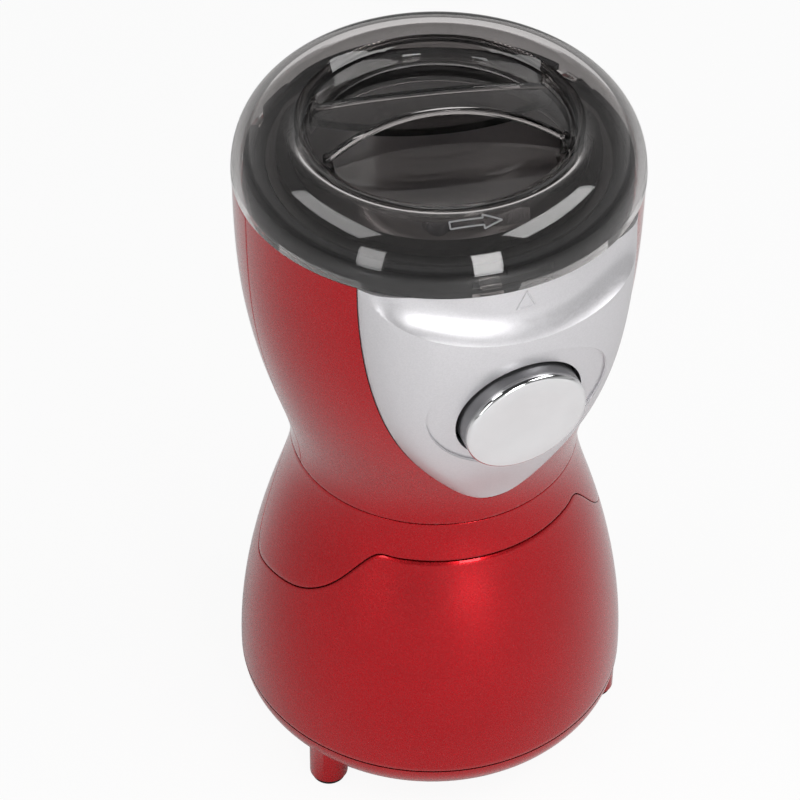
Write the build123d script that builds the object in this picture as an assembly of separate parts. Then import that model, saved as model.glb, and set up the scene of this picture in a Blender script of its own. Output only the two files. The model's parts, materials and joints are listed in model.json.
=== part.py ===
"""Electric spice grinder.

The origin is the centre of the plane that the feet stand on, +Z is up and the
control panel with its button faces -Y. All sizes are in millimetres.
"""
from build123d import *
from math import cos, radians, sin, sqrt
import os

os.makedirs("parts", exist_ok=True)

# ------------------------------------------------------------------ clearances
SEAM_GAP = 0.3          # between neighbouring housing pieces
FIT_GAP = 0.3           # between pieces that lie on or in each other
RUN_GAP = 0.04          # radial clearance of the spindle in its bushes
TINY = 0.02             # keeps faces of one body from sharing a plane by accident

# --------------------------------------------------- housing: height and radius
RIM_HEIGHT = 184.7
RIM_RADIUS = 51.8
SHOULDER_HEIGHT = 149.5
SHOULDER_RADIUS = 50.2
NECK_HEIGHT = 120.0
NECK_RADIUS = 43.6
WAIST_HEIGHT = 98.2
WAIST_RADIUS = 38.6
HIP_HEIGHT = 72.0
HIP_RADIUS = 44.6
BELLY_HEIGHT = 45.0
BELLY_INSET = 2.6         # from the radius at the base seam
BASE_SEAM_HEIGHT = 17.6
BASE_SEAM_RADIUS = 53.9
BELLY_RADIUS = BASE_SEAM_RADIUS - BELLY_INSET
WALL = 2.4

# wavy seam between the middle collar and the lower shell, seen from the side
WAIST_SEAM_HEIGHT = 97.2
WAVE_FRONT_HEIGHT = 85.4
WAVE_REAR_HEIGHT = 88.0
WAVE_SIDE_HEIGHT = 62.3
WAVE_LOW_HEIGHT = 58.6
WAVE_FRONT_Y = -29.0
WAVE_REAR_Y = 24.0
COLLAR_TONGUE = 5.0      # height of the ring that laps behind the waist seam
TONGUE_WALL = 1.6

# ------------------------------------------------------------ base plate, feet
BASE_HEIGHT = 7.0        # underside of the base plate
BASE_TUCK = 7.9           # from the seam in to the flat underside
BASE_FLAT_RADIUS = BASE_SEAM_RADIUS - BASE_TUCK
BASE_FLOOR = 2.6
FOOT_INSET = 5.9
FOOT_RING_RADIUS = BASE_SEAM_RADIUS - FOOT_INSET
FOOT_RADIUS = 5.3
FOOT_ANGLES = (-60.0, 60.0, 180.0)     # from the front, counter-clockwise
PAD_RADIUS = 4.6
PAD_HEIGHT = 1.6
PAD_PLUG_RADIUS = 2.5
PAD_PLUG_HEIGHT = 3.0
VENT_LENGTH = 22.0
VENT_WIDTH = 2.6
VENT_PITCH = 6.0
VENT_COUNT = 7
BASE_SCREW_ANGLES = (0.0, 120.0, 240.0)
BASE_SCREW_INSET = 12.4
BASE_SCREW_RING = BASE_SEAM_RADIUS - BASE_SCREW_INSET
BASE_BOSS_RADIUS = 4.2
BASE_BOSS_TOP = 40.0
SCREW_RADIUS = 1.5
SCREW_HEAD_RADIUS = 3.0
SCREW_HEAD_HEIGHT = 2.0
SCREW_LENGTH = 14.0
CLEARANCE_HOLE = 1.8

# --------------------------------------------------------------- control panel
PANEL_HALF_WIDTH = 37.6
PANEL_LENGTH = 79.4
PANEL_SEAT = 1.3          # how deep the panel's edge sits in the front shell
PANEL_SKIN = 2.2
PANEL_RIM = 3.0           # width of the panel's edge that lies on the shell
PANEL_BULGE = 2.6         # how far the panel's middle stands out of the body
PANEL_BULGE_HEIGHT = 150.0
PANEL_EDGE_GAP = 0.25
SCOOP_HALF_WIDTH = 37.3
SCOOP_DEPTH = 17.3
SCOOP_RIM_RADIUS = 51.2
SCOOP_WAIST_RADIUS = 51.0
SCOOP_LIP_RADIUS = 54.1
EYE_HALF_WIDTH = 24.3
EYE_TOP = 20.3            # from the corners up
EYE_BOTTOM = 21.3         # from the corners down
EYE_HEIGHT = 144.7
EYE_STEP = 0.7
TRIANGLE_WIDTH = 5.0
TRIANGLE_HEIGHT = 5.2
TRIANGLE_LINE = 0.5
TRIANGLE_RAISE = 0.35
TRIANGLE_TOP = 183.4

# ---------------------------------------------------------------- start button
BUTTON_HEIGHT = 143.8
BUTTON_TILT = 8.5         # the button's axis points down by this angle
BUTTON_REACH = 55.0       # face centre from the grinder's axis
BUTTON_RADIUS = 16.2
BUTTON_HOLE_RADIUS = 17.1
BUTTON_DEPTH = 9.0
BUTTON_WALL = 1.8
BUTTON_EDGE = 1.0
BUTTON_DISH_RADIUS = 10.5
BUTTON_DISH_DEPTH = 0.5
BUTTON_FLANGE_RADIUS = 18.4
BUTTON_FLANGE_HEIGHT = 1.3
BUTTON_TRAVEL = 2.5
GUIDE_RADIUS = 18.8       # inside of the sleeve that the flange slides in
GUIDE_WALL = 1.8
RETAINER_THICKNESS = 1.5
STEM_RADIUS = 3.0
STEM_DROP = 9.0           # the stem is this far below the button's centre
STEM_LENGTH = 17.4        # from the face to the stem's tip
SWITCH_DROP = 13.0        # the switch body is this far below the button's centre
SPRING_RADIUS = 4.2
SPRING_WIRE = 0.45
SPRING_TURNS = 4

# ---------------------------------------------------------- bowl and its holder
HOLDER_LEDGE_HEIGHT = 172.0
HOLDER_LEDGE_THICKNESS = 2.4
HOLDER_LEDGE_RADIUS = 43.0
RING_INSET = 3.4          # bayonet ring that stands inside the lid, from the rim
RING_WALL = 2.2
RING_RISE = 4.9           # over the rim
WEB_RISE = 2.8
RING_RADIUS = RIM_RADIUS - RING_INSET
RING_TOP = RIM_HEIGHT + RING_RISE
WEB_TOP = RIM_HEIGHT + WEB_RISE
WEB_THICKNESS = 2.2
BOWL_MOUTH_RADIUS = 37.2
BOWL_FLANGE_RADIUS = 43.0
BOWL_WALL = 0.8
BOWL_FLOOR_HEIGHT = 146.0
BOWL_FLOOR_RADIUS = 24.0
BOWL_CORNER = 12.0
BOWL_BOSS_RADIUS = 7.0
BOWL_BOSS_HEIGHT = 2.5
HOLDER_WALL = 2.2
HOLDER_FLOOR_THICKNESS = 3.0
CUP_FLANGE_WIDTH = 3.0    # round the cup's top, bonded under the ring's web
CUP_FLANGE_THICKNESS = 1.6
POST_RING_RADIUS = 24.0
POST_RADIUS = 4.0
POST_ANGLES = (45.0, 135.0, 225.0, 315.0)
POST_FOOT_HEIGHT = 128.0
LEDGE_SCREW_RING = 44.9
LEDGE_SCREW_ANGLES = (60.0, 120.0, 240.0, 300.0)

# ---------------------------------------------------------------- bayonet, lock
LUG_ANGLES = (0.0, 120.0, 240.0)
LUG_LEAD = 4.5            # lugs from the lid's own front
LUG_WIDTH = 6.0           # degrees
LUG_THICKNESS = 1.5
LUG_INNER_RADIUS = 46.9
LUG_HEIGHT = 185.7
SLOT_FLOOR = 185.3
SLOT_TOP = 187.6
SLOT_START = -15.0        # degrees from each lug angle
SLOT_ENTRY_END = -5.0
SLOT_END = 9.5
LID_REST_TURN = -14.5     # the lid's own front from the body's front, unlocked
LOCK_TURN = 14.5

# ------------------------------------------------------------------------- lid
LID_WALL = 2.2
LID_OVERHANG = 0.2        # past the housing's rim
LID_SIDE_RISE = 5.9       # from the lid's lower edge to where its side turns in
LID_SIDE_INSET = 0.8
LID_SHOULDER_RISE = 13.0
LID_SHOULDER_INSET = 4.7
LID_CREST_RISE = 17.0
LID_CREST_INSET = 12.5
CREST_EDGE_WIDTH = 3.0    # flat ring inside the crest
CREST_EDGE_DROP = 0.7
BAND_WIDTH = 3.5          # slope from the crest down to the grip and the wells
BAND_DROP = 3.0
GRIP_RISE = 7.5           # from the band's foot to the top of the grip
GRIP_HALF_WIDTH = 4.2
GRIP_END_HALF_WIDTH = 12.4
WELL_DEPTH = 3.8
WELL_TAPER = 1.6
SKIRT_GAP = 0.8           # between the lid's skirt and the bowl's mouth
SKIRT_WALL = 2.0
SKIRT_DROP = 1.0          # how far the skirt reaches under the lid's edge
ARROW_LENGTH = 12.6
ARROW_RAISE = 0.4
ARROW_LINE = 0.5
ARROW_RADIUS = 43.4       # from the axis
ARROW_ANGLE = 1.5         # ahead of the lid's own front
SEAL_RADIUS = 40.4
SEAL_WALL = 3.7
SEAL_HEIGHT = 2.0
LID_LIFT = 80.0

LID_BOTTOM = RIM_HEIGHT + SEAM_GAP
LID_RADIUS = RIM_RADIUS + LID_OVERHANG
LID_SIDE_HEIGHT = LID_BOTTOM + LID_SIDE_RISE
LID_SIDE_RADIUS = LID_RADIUS - LID_SIDE_INSET
LID_SHOULDER_HEIGHT = LID_BOTTOM + LID_SHOULDER_RISE
LID_SHOULDER_RADIUS = LID_RADIUS - LID_SHOULDER_INSET
LID_CREST_HEIGHT = LID_BOTTOM + LID_CREST_RISE
LID_CREST_RADIUS = LID_RADIUS - LID_CREST_INSET
CREST_EDGE_RADIUS = LID_CREST_RADIUS - CREST_EDGE_WIDTH
CREST_EDGE_HEIGHT = LID_CREST_HEIGHT - CREST_EDGE_DROP
BAND_RADIUS = CREST_EDGE_RADIUS - BAND_WIDTH
BAND_HEIGHT = CREST_EDGE_HEIGHT - BAND_DROP
GRIP_HEIGHT = BAND_HEIGHT + GRIP_RISE
WELL_FLOOR_HEIGHT = BAND_HEIGHT - WELL_DEPTH
WELL_FLOOR_RADIUS = BAND_RADIUS - WELL_TAPER
SKIRT_RADIUS = BOWL_MOUTH_RADIUS - SKIRT_GAP
SKIRT_BOTTOM = LID_BOTTOM - SKIRT_DROP

# ----------------------------------------------------------------------- motor
SPINDLE_RADIUS = 3.0
SPINDLE_BOTTOM = 33.0
BUSH_RADIUS = 6.0
BUSH_LENGTH = 8.0
BRACKET_RADIUS = 30.0
BRACKET_THICKNESS = 3.0
UPPER_BRACKET_HEIGHT = 121.0
LOWER_BRACKET_HEIGHT = 52.0
BRACKET_HUB_RADIUS = 9.5
DAMPER_RADIUS = 4.6
STACK_SIZE = 47.0
STACK_CORNER = 6.0
STACK_BOTTOM = 80.0
STACK_HEIGHT = 26.0
STACK_BORE = 15.4
COIL_WIDTH = 26.0
COIL_THICKNESS = 5.0
COIL_OVERHANG = 6.0
ARMATURE_RADIUS = 14.8
WINDING_RADIUS = 12.5
WINDING_HEIGHT = 7.0
COMMUTATOR_RADIUS = 8.0
COMMUTATOR_BOTTOM = 60.5
COMMUTATOR_HEIGHT = 9.5
COMMUTATOR_BARS = 12
BRUSH_SIZE = 5.0
BRUSH_LENGTH = 8.0
HOLDER_BOX = 9.0
BOLT_RING_RADIUS = 27.6
BOLT_RADIUS = 1.7
BOLT_HEAD_RADIUS = 3.2
FAN_RADIUS = 26.0
FAN_HUB_RADIUS = 7.0
FAN_BOTTOM = 36.0
FAN_HEIGHT = 9.0
FAN_BLADES = 9

# ----------------------------------------------------------------------- blade
BLADE_HEIGHT = 153.5
BLADE_LENGTH = 29.0
BLADE_FLAT = 18.0
BLADE_WIDTH = 9.0
BLADE_THICKNESS = 1.5
BLADE_BEND = 24.0
HUB_RADIUS = 6.0
NUT_SIZE = 10.0
NUT_HEIGHT = 5.0

# ----------------------------------------------------------------- electricals
SWITCH_LENGTH = 20.0
SWITCH_HEIGHT = 10.5
SWITCH_DEPTH = 6.4
PLUNGER_RADIUS = 1.4
PLUNGER_HEIGHT = 1.2
BRACKET_PLATE = 1.2
BOARD_LENGTH = 46.0
BOARD_WIDTH = 26.0
BOARD_THICKNESS = 1.6
BOARD_HEIGHT = 15.0
BOARD_Y = -22.0
BOARD_POST_RADIUS = 2.6
CAPACITOR_RADIUS = 5.5
CAPACITOR_LENGTH = 16.0
BRIDGE_SIZE = 9.0
TERMINAL_LENGTH = 18.0
TERMINAL_WIDTH = 9.0
TERMINAL_HEIGHT = 8.0
TERMINAL_Y = 34.0
INLET_HEIGHT = 30.0
INLET_BORE = 3.4
INLET_HOLE_RADIUS = 4.6
INLET_FLANGE_RADIUS = 6.6
INLET_FLANGE = 1.6

STOCK = 2.0 * max(RIM_RADIUS, BASE_SEAM_RADIUS)     # larger than the body anywhere


# ----------------------------------------------------------------- basic shapes
def disc(radius, low, high, x=0.0, y=0.0):
    """Upright cylinder between two heights."""
    return Pos(x, y, (low + high) / 2) * Cylinder(radius, high - low)


def tube(outer, inner, low, high, x=0.0, y=0.0):
    """Upright ring between two heights."""
    return disc(outer, low, high, x, y) - disc(inner, low - 1, high + 1, x, y)


def block(x_low, x_high, y_low, y_high, z_low, z_high):
    """Box between two corners."""
    centre = Pos((x_low + x_high) / 2, (y_low + y_high) / 2, (z_low + z_high) / 2)
    return centre * Box(x_high - x_low, y_high - y_low, z_high - z_low)


def front_polar(radius, angle):
    """Point at a radius and an angle from the front, counter-clockwise from above."""
    return radius * sin(radians(angle)), -radius * cos(radians(angle))


def turned(shape, angle):
    """Shape turned about the grinder's axis."""
    return Rot(0, 0, angle) * shape


def wedge(low_angle, high_angle, z_low, z_high, radius=STOCK):
    """Upright sector between two angles from the front."""
    middle = (low_angle + high_angle) / 2
    half = (high_angle - low_angle) / 2
    reach = radius / cos(radians(half))
    corners = [(0, 0)] + [front_polar(reach, middle + side * half) for side in (-1, 1)]
    sector = make_face(Polyline(*corners, close=True))
    return Pos(0, 0, z_low) * extrude(sector, z_high - z_low)


def revolved(*edges):
    """Solid of revolution of a closed outline in the XZ plane."""
    return revolve(make_face(Wire(list(edges))), Axis.Z)


def save(name, shape):
    """Write one node."""
    export_step(shape, f"parts/{name}.step")


def only_solid(shape):
    """The largest solid of a result."""
    return max(shape.solids(), key=lambda solid: solid.volume)


def group(*shapes):
    """Several separate solids in one node."""
    return Compound(children=[solid for shape in shapes for solid in shape.solids()])


# -------------------------------------------------------------- housing surface
def wall_line(inset):
    """Side of the housing from the rim to the base seam, moved inwards by inset."""
    stations = (
        (RIM_RADIUS, RIM_HEIGHT),
        (SHOULDER_RADIUS, SHOULDER_HEIGHT),
        (NECK_RADIUS, NECK_HEIGHT),
        (WAIST_RADIUS, WAIST_HEIGHT),
        (HIP_RADIUS, HIP_HEIGHT),
        (BELLY_RADIUS, BELLY_HEIGHT),
        (BASE_SEAM_RADIUS, BASE_SEAM_HEIGHT),
    )
    points = [(radius - inset, 0, height) for radius, height in stations]
    return Spline(*points, tangents=((0, 0, -1), (0, 0, -1)))


def body_of_revolution(inset):
    """Everything inside the housing's surface, moved inwards by inset."""
    side = wall_line(inset)
    top, bottom = side @ 0, side @ 1
    return revolved(
        Line((0, 0, top.Z), top),
        side,
        Line(bottom, (0, 0, bottom.Z)),
        Line((0, 0, bottom.Z), (0, 0, top.Z)),
    )


OUTER_LINE = wall_line(0)


def wall_radius(height):
    """Outer radius of the housing at a height."""
    low, high = 0.0, 1.0
    while high - low > 1e-6:
        middle = (low + high) / 2
        if (OUTER_LINE @ middle).Z > height:
            low = middle
        else:
            high = middle
    return (OUTER_LINE @ low).X


BODY = body_of_revolution(0)
HOLLOW = body_of_revolution(WALL)
HOUSING_WALL = BODY - HOLLOW


def below_wave(shift):
    """Everything under the wavy seam, whose side view is extruded across the body."""
    front = (0, WAVE_FRONT_Y - 5, WAVE_FRONT_HEIGHT + shift)
    rear = (0, WAVE_REAR_Y + 6, WAVE_REAR_HEIGHT + shift)
    steps = [
        (WAVE_FRONT_Y - 2.0, WAVE_FRONT_HEIGHT),
        (WAVE_FRONT_Y + 1.0, WAVE_FRONT_HEIGHT - 0.7),
        (WAVE_FRONT_Y + 3.0, WAVE_FRONT_HEIGHT - 4.4),
        (WAVE_FRONT_Y + 5.2, WAVE_SIDE_HEIGHT + 13.7),
        (WAVE_FRONT_Y + 10.5, WAVE_SIDE_HEIGHT + 6.4),
        (WAVE_FRONT_Y + 23.2, WAVE_SIDE_HEIGHT),
        (WAVE_REAR_Y - 17.3, WAVE_LOW_HEIGHT),
        (WAVE_REAR_Y - 10.5, WAVE_LOW_HEIGHT + 1.3),
        (WAVE_REAR_Y - 8.0, WAVE_LOW_HEIGHT + 6.0),
        (WAVE_REAR_Y - 6.0, WAVE_LOW_HEIGHT + 13.4),
        (WAVE_REAR_Y - 4.0, WAVE_REAR_HEIGHT - 8.0),
        (WAVE_REAR_Y - 1.8, WAVE_REAR_HEIGHT - 2.2),
        (WAVE_REAR_Y + 1.5, WAVE_REAR_HEIGHT),
    ]
    middle = [(0, y, height + shift) for y, height in steps]
    wave = Spline(front, *middle, rear)
    outline = Wire([
        Line((0, -STOCK, front[2]), front),
        wave,
        Line(rear, (0, STOCK, rear[2])),
        Line((0, STOCK, rear[2]), (0, STOCK, 0)),
        Line((0, STOCK, 0), (0, -STOCK, 0)),
        Line((0, -STOCK, 0), (0, -STOCK, front[2])),
    ])
    return extrude(make_face(outline), STOCK, dir=(1, 0, 0), both=True)


# ---------------------------------------------------------------- control panel
def panel_points(inset):
    """Right half of the panel's outline in the front view, from the top to the tip."""
    tip = RIM_HEIGHT - PANEL_LENGTH
    return [
        (PANEL_HALF_WIDTH - inset, RIM_HEIGHT + 0.0),
        (PANEL_HALF_WIDTH - 0.7 - inset, RIM_HEIGHT - 0.21 * PANEL_LENGTH),
        (PANEL_HALF_WIDTH - 3.9 - inset, RIM_HEIGHT - 0.453 * PANEL_LENGTH),
        (PANEL_HALF_WIDTH - 10.7 - inset, RIM_HEIGHT - 0.68 * PANEL_LENGTH),
        (PANEL_HALF_WIDTH - 21.6 - inset, RIM_HEIGHT - 0.869 * PANEL_LENGTH + 0.5 * inset),
        (0.0, tip + inset),
    ]


def panel_side(inset, side=1):
    """One side of the panel's outline as a curve in the XZ plane, +1 for the right."""
    points = [(side * x, 0, z) for x, z in panel_points(inset)]
    return Spline(*points, tangents=((0, 0, -1), (-side, 0, 0)))


def panel_region(inset):
    """The panel's outline, extruded through the front of the body."""
    right = panel_side(inset)
    left = panel_side(inset, -1)
    top_right, top_left = right @ 0, left @ 0
    above = RIM_HEIGHT + 20
    outline = Wire([
        right,
        left,
        Line(top_left, (top_left.X, 0, above)),
        Line((top_left.X, 0, above), (top_right.X, 0, above)),
        Line((top_right.X, 0, above), top_right),
    ])
    return extrude(make_face(outline), STOCK, dir=(0, -1, 0))


PANEL_SIDE = panel_side(0)


def panel_half_width(height):
    """Half the panel's width at a height."""
    low, high = 0.0, 1.0
    while high - low > 1e-6:
        middle = (low + high) / 2
        if (PANEL_SIDE @ middle).Z > height:
            low = middle
        else:
            high = middle
    return (PANEL_SIDE @ low).X


def panel_rise(x, height):
    """How far the panel stands out of the body of revolution."""
    tip = RIM_HEIGHT - PANEL_LENGTH
    along = (height - PANEL_BULGE_HEIGHT) / (PANEL_BULGE_HEIGHT - tip)
    across = min(abs(x) / max(panel_half_width(height), 1.0), 1.0)
    middle = PANEL_BULGE * max(0.0, 1 - along ** 2)
    return middle * (1 + 2 * across ** 2) * (1 - across ** 4)


def panel_section(height, margin=2.0):
    """Plan section of the panel's outer form at a height."""
    radius = wall_radius(height)
    half = panel_half_width(height)
    steps = (-1.0, -0.85, -0.6, -0.3, 0.0, 0.3, 0.6, 0.85, 1.0)
    stations = [step * half for step in steps]
    stations = [-half - margin] + stations + [half + margin]
    points = []
    for x in stations:
        y = -sqrt(radius ** 2 - x ** 2) - panel_rise(x, height)
        points.append((x, y, height))
    front = Spline(*points)
    left, right = front @ 0, front @ 1
    back = -0.3 * radius
    return make_face(Wire([
        front,
        Line(right, (right.X, back, height)),
        Line((right.X, back, height), (left.X, back, height)),
        Line((left.X, back, height), left),
    ]))


def panel_form():
    """The panel's outer form as one solid, wider than the panel itself."""
    tip = RIM_HEIGHT - PANEL_LENGTH
    heights = (RIM_HEIGHT - TINY, RIM_HEIGHT - 16, PANEL_BULGE_HEIGHT, tip + 22, tip + 8, tip - 1)
    return loft([panel_section(height) for height in heights])


def scoop_cut():
    """What is scooped out of the panel under the lid."""
    low = RIM_HEIGHT - SCOOP_DEPTH
    curve = Spline(
        (SCOOP_RIM_RADIUS, 0, RIM_HEIGHT + 1),
        (SCOOP_WAIST_RADIUS, 0, RIM_HEIGHT - 0.45 * SCOOP_DEPTH),
        (SCOOP_LIP_RADIUS, 0, low),
        tangents=((0, 0, -1), (0.6, 0, -0.8)),
    )
    kept = revolved(
        Line((0, 0, RIM_HEIGHT + 1), curve @ 0),
        curve,
        Line(curve @ 1, (SCOOP_LIP_RADIUS, 0, low - 5)),
        Line((SCOOP_LIP_RADIUS, 0, low - 5), (0, 0, low - 5)),
        Line((0, 0, low - 5), (0, 0, RIM_HEIGHT + 1)),
    )
    oval = Plane.XZ * Ellipse(SCOOP_HALF_WIDTH, SCOOP_DEPTH)
    region = extrude(Pos(0, 0, RIM_HEIGHT) * oval, STOCK, dir=(0, -1, 0))
    return region - kept


def eye_region():
    """Outline of the recess round the button, extruded through the front."""
    half, top, bottom = EYE_HALF_WIDTH, EYE_TOP, EYE_BOTTOM
    right = [
        (0, top), (0.53 * half, 0.85 * top), (0.86 * half, 0.59 * top), (half, 0.2 * top),
        (0.91 * half, -0.22 * bottom), (0.6 * half, -0.63 * bottom), (0.27 * half, -0.88 * bottom),
    ]
    points = right + [(0, -bottom)] + [(-x, z) for x, z in reversed(right[1:])]
    loop = Spline(*[(x, 0, EYE_HEIGHT + z) for x, z in points], periodic=True)
    return extrude(make_face(loop), STOCK, dir=(0, -1, 0))


def triangle_mark(form):
    """Raised outline of a triangle that marks the locked position."""
    half, height = TRIANGLE_WIDTH / 2, TRIANGLE_HEIGHT
    outer = [(0, TRIANGLE_TOP), (half, TRIANGLE_TOP - height), (-half, TRIANGLE_TOP - height)]
    line = TRIANGLE_LINE
    inner = [(0, TRIANGLE_TOP - 2.6 * line), (half - 1.8 * line, TRIANGLE_TOP - height + line),
             (-half + 1.8 * line, TRIANGLE_TOP - height + line)]
    faces = [make_face(Polyline(*[(x, 0, z) for x, z in ring], close=True)) for ring in (outer, inner)]
    outline = extrude(faces[0], STOCK, dir=(0, -1, 0)) - extrude(faces[1], STOCK, dir=(0, -1, 0))
    raised = Pos(0, -TRIANGLE_RAISE, 0) * form
    return outline & raised


def button_frame():
    """Frame at the centre of the button's face, with +Z pointing out of it."""
    lean = radians(BUTTON_TILT)
    return Plane(
        origin=(0, -BUTTON_REACH, BUTTON_HEIGHT),
        x_dir=(1, 0, 0),
        z_dir=(0, -cos(lean), -sin(lean)),
    )


def along_button(radius, near, far, drop=0.0):
    """Cylinder along the button's axis between two depths behind its face."""
    middle = -(near + far) / 2
    return button_frame() * (Pos(0, -drop, middle) * Cylinder(radius, far - near))


def control_panel():
    form = panel_form()
    shaped = form - scoop_cut()
    plate = shaped & panel_region(PANEL_EDGE_GAP)
    inside = (Pos(0, PANEL_SKIN, 0) * form) & panel_region(PANEL_RIM)
    inside = inside & disc(STOCK, 0, RIM_HEIGHT - SCOOP_DEPTH - PANEL_SKIN)
    recess = eye_region() - (Pos(0, EYE_STEP, 0) * form)
    below_seat = body_of_revolution(PANEL_SEAT)
    plate = plate - inside - below_seat - recess
    plate = plate - along_button(BUTTON_HOLE_RADIUS, -12, 16)
    plate = plate & disc(STOCK, 0, RIM_HEIGHT)
    mark = triangle_mark(shaped) - below_seat
    return only_solid(only_solid(plate) + mark)


# ----------------------------------------------------------------- upper shells
def ledge_ring():
    """Ring inside the top of the upper shells that carries the bowl's holder."""
    top = HOLDER_LEDGE_HEIGHT
    ring = tube(STOCK, HOLDER_LEDGE_RADIUS, top - HOLDER_LEDGE_THICKNESS, top) & body_of_revolution(WALL / 2)
    for angle in LEDGE_SCREW_ANGLES:
        x, y = front_polar(LEDGE_SCREW_RING, angle)
        ring -= disc(CLEARANCE_HOLE, top - 10, top + 10, x, y)
    return ring


def upper_shells():
    """Front and rear halves between the waist seam and the rim."""
    low = WAIST_SEAM_HEIGHT + SEAM_GAP / 2
    both = (HOUSING_WALL & disc(STOCK, low, RIM_HEIGHT)) + ledge_ring()
    front_half = block(-STOCK, STOCK, -STOCK, -SEAM_GAP / 2, 0, 2 * RIM_HEIGHT)
    rear_half = block(-STOCK, STOCK, SEAM_GAP / 2, STOCK, 0, 2 * RIM_HEIGHT)
    front = both & front_half
    pocket = panel_region(0) - body_of_revolution(PANEL_SEAT + 0.1)
    front = front - pocket
    sleeve_end = BUTTON_DEPTH + BUTTON_TRAVEL + FIT_GAP
    sleeve = along_button(GUIDE_RADIUS + GUIDE_WALL, 0, sleeve_end) & body_of_revolution(PANEL_SEAT + 0.1)
    front = front + sleeve
    front = front - along_button(GUIDE_RADIUS, -12, sleeve_end + 4)
    return only_solid(front), only_solid(both & rear_half)


def middle_collar():
    """Collar between the waist seam and the wavy seam, with a tongue behind the seam."""
    top = WAIST_SEAM_HEIGHT - SEAM_GAP / 2
    collar = (HOUSING_WALL & disc(STOCK, 0, top)) - below_wave(SEAM_GAP / 2)
    tongue_outer = body_of_revolution(WALL + FIT_GAP)
    tongue_inner = body_of_revolution(WALL + FIT_GAP + TONGUE_WALL)
    tongue = (tongue_outer - tongue_inner) & disc(STOCK, top - 2, top + COLLAR_TONGUE)
    root = (body_of_revolution(WALL / 2) - tongue_inner) & disc(STOCK, top - 3, top - 1)
    return only_solid(collar + tongue + root)


# ------------------------------------------------------------- lower shell, base
def base_bosses():
    """Screw bosses inside the lower shell, each tied to the wall by a rib."""
    bosses = None
    for angle in BASE_SCREW_ANGLES:
        x, y = front_polar(BASE_SCREW_RING, angle)
        low = BASE_SEAM_HEIGHT + 1
        boss = disc(BASE_BOSS_RADIUS, low, BASE_BOSS_TOP, x, y)
        rib = block(-1.2, 1.2, -STOCK, -BASE_SCREW_RING, low, BASE_BOSS_TOP)
        boss = boss + turned(rib, angle)
        bosses = boss if bosses is None else bosses + boss
    return bosses & body_of_revolution(WALL / 2)


def lower_shell():
    """Red shell from the wavy seam down to the base seam."""
    shell = HOUSING_WALL & below_wave(-SEAM_GAP / 2) & disc(STOCK, BASE_SEAM_HEIGHT + TINY, RIM_HEIGHT)
    shell = shell + base_bosses()
    for angle in BASE_SCREW_ANGLES:
        x, y = front_polar(BASE_SCREW_RING, angle)
        shell -= disc(SCREW_RADIUS + TINY, 0, BASE_BOSS_TOP - 4, x, y)
    inlet = Pos(0, STOCK / 2, INLET_HEIGHT) * (Rot(90, 0, 0) * Cylinder(INLET_HOLE_RADIUS + 0.05, STOCK))
    return only_solid(shell - inlet)


def base_plate():
    """Base plate with the stems of the three feet and slots for cooling air."""
    top = BASE_SEAM_HEIGHT - SEAM_GAP
    under = ThreePointArc((BASE_SEAM_RADIUS, 0, top), (BASE_SEAM_RADIUS - 2.3, 0, top - 6.5),
                          (BASE_FLAT_RADIUS, 0, BASE_HEIGHT))
    outside = revolved(
        Line((0, 0, top), (BASE_SEAM_RADIUS, 0, top)),
        under,
        Line((BASE_FLAT_RADIUS, 0, BASE_HEIGHT), (0, 0, BASE_HEIGHT)),
        Line((0, 0, BASE_HEIGHT), (0, 0, top)),
    )
    floor = BASE_HEIGHT + BASE_FLOOR
    inside_radius = BASE_SEAM_RADIUS - WALL
    cavity = disc(BASE_FLAT_RADIUS - 2.5, floor, top + 1) + disc(inside_radius, top - 3, top + 1)
    for angle in FOOT_ANGLES:
        x, y = front_polar(FOOT_RING_RADIUS, angle)
        outside = outside + disc(FOOT_RADIUS, PAD_HEIGHT, top - 2, x, y)
    plate = outside - cavity
    lip = tube(inside_radius - FIT_GAP, inside_radius - FIT_GAP - 1.4, top - 3.5, top + 4)
    for angle in BASE_SCREW_ANGLES:
        lip = lip - wedge(angle - 8, angle + 8, top, top + 5)
    plate = plate + lip
    for angle in FOOT_ANGLES:
        x, y = front_polar(FOOT_RING_RADIUS, angle)
        plate = plate - disc(PAD_PLUG_RADIUS, 0, PAD_HEIGHT + PAD_PLUG_HEIGHT, x, y)
    for x in (-1, 1):
        for y in (-1, 1):
            post_x = x * (BOARD_LENGTH / 2 - 4)
            post_y = BOARD_Y + y * (BOARD_WIDTH / 2 - 4)
            plate = plate + disc(BOARD_POST_RADIUS, floor - 1, BOARD_HEIGHT, post_x, post_y)
    for angle in BASE_SCREW_ANGLES:
        x, y = front_polar(BASE_SCREW_RING, angle)
        plate = plate + disc(BASE_BOSS_RADIUS, floor - 1, BASE_SEAM_HEIGHT + 1 - TINY, x, y)
        plate = plate - disc(CLEARANCE_HOLE, 0, BASE_SEAM_HEIGHT + 3, x, y)
        plate = plate - disc(SCREW_HEAD_RADIUS + FIT_GAP, 0, BASE_HEIGHT + SCREW_HEAD_HEIGHT + 1, x, y)
    for step in range(VENT_COUNT):
        x = (step - (VENT_COUNT - 1) / 2) * VENT_PITCH
        slot = SlotOverall(VENT_LENGTH, VENT_WIDTH, rotation=90)
        plate = plate - Pos(x, 8, 0) * extrude(slot, floor + 1)
    return only_solid(plate)


def rubber_feet():
    """Pads plugged into the stems of the feet."""
    pads = []
    for angle in FOOT_ANGLES:
        x, y = front_polar(FOOT_RING_RADIUS, angle)
        pad = disc(PAD_RADIUS, 0, PAD_HEIGHT - TINY, x, y)
        plug = disc(PAD_PLUG_RADIUS - 0.1, PAD_HEIGHT - 1, PAD_HEIGHT + PAD_PLUG_HEIGHT - 0.3, x, y)
        pads.append(pad + plug)
    return group(*pads)


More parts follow.
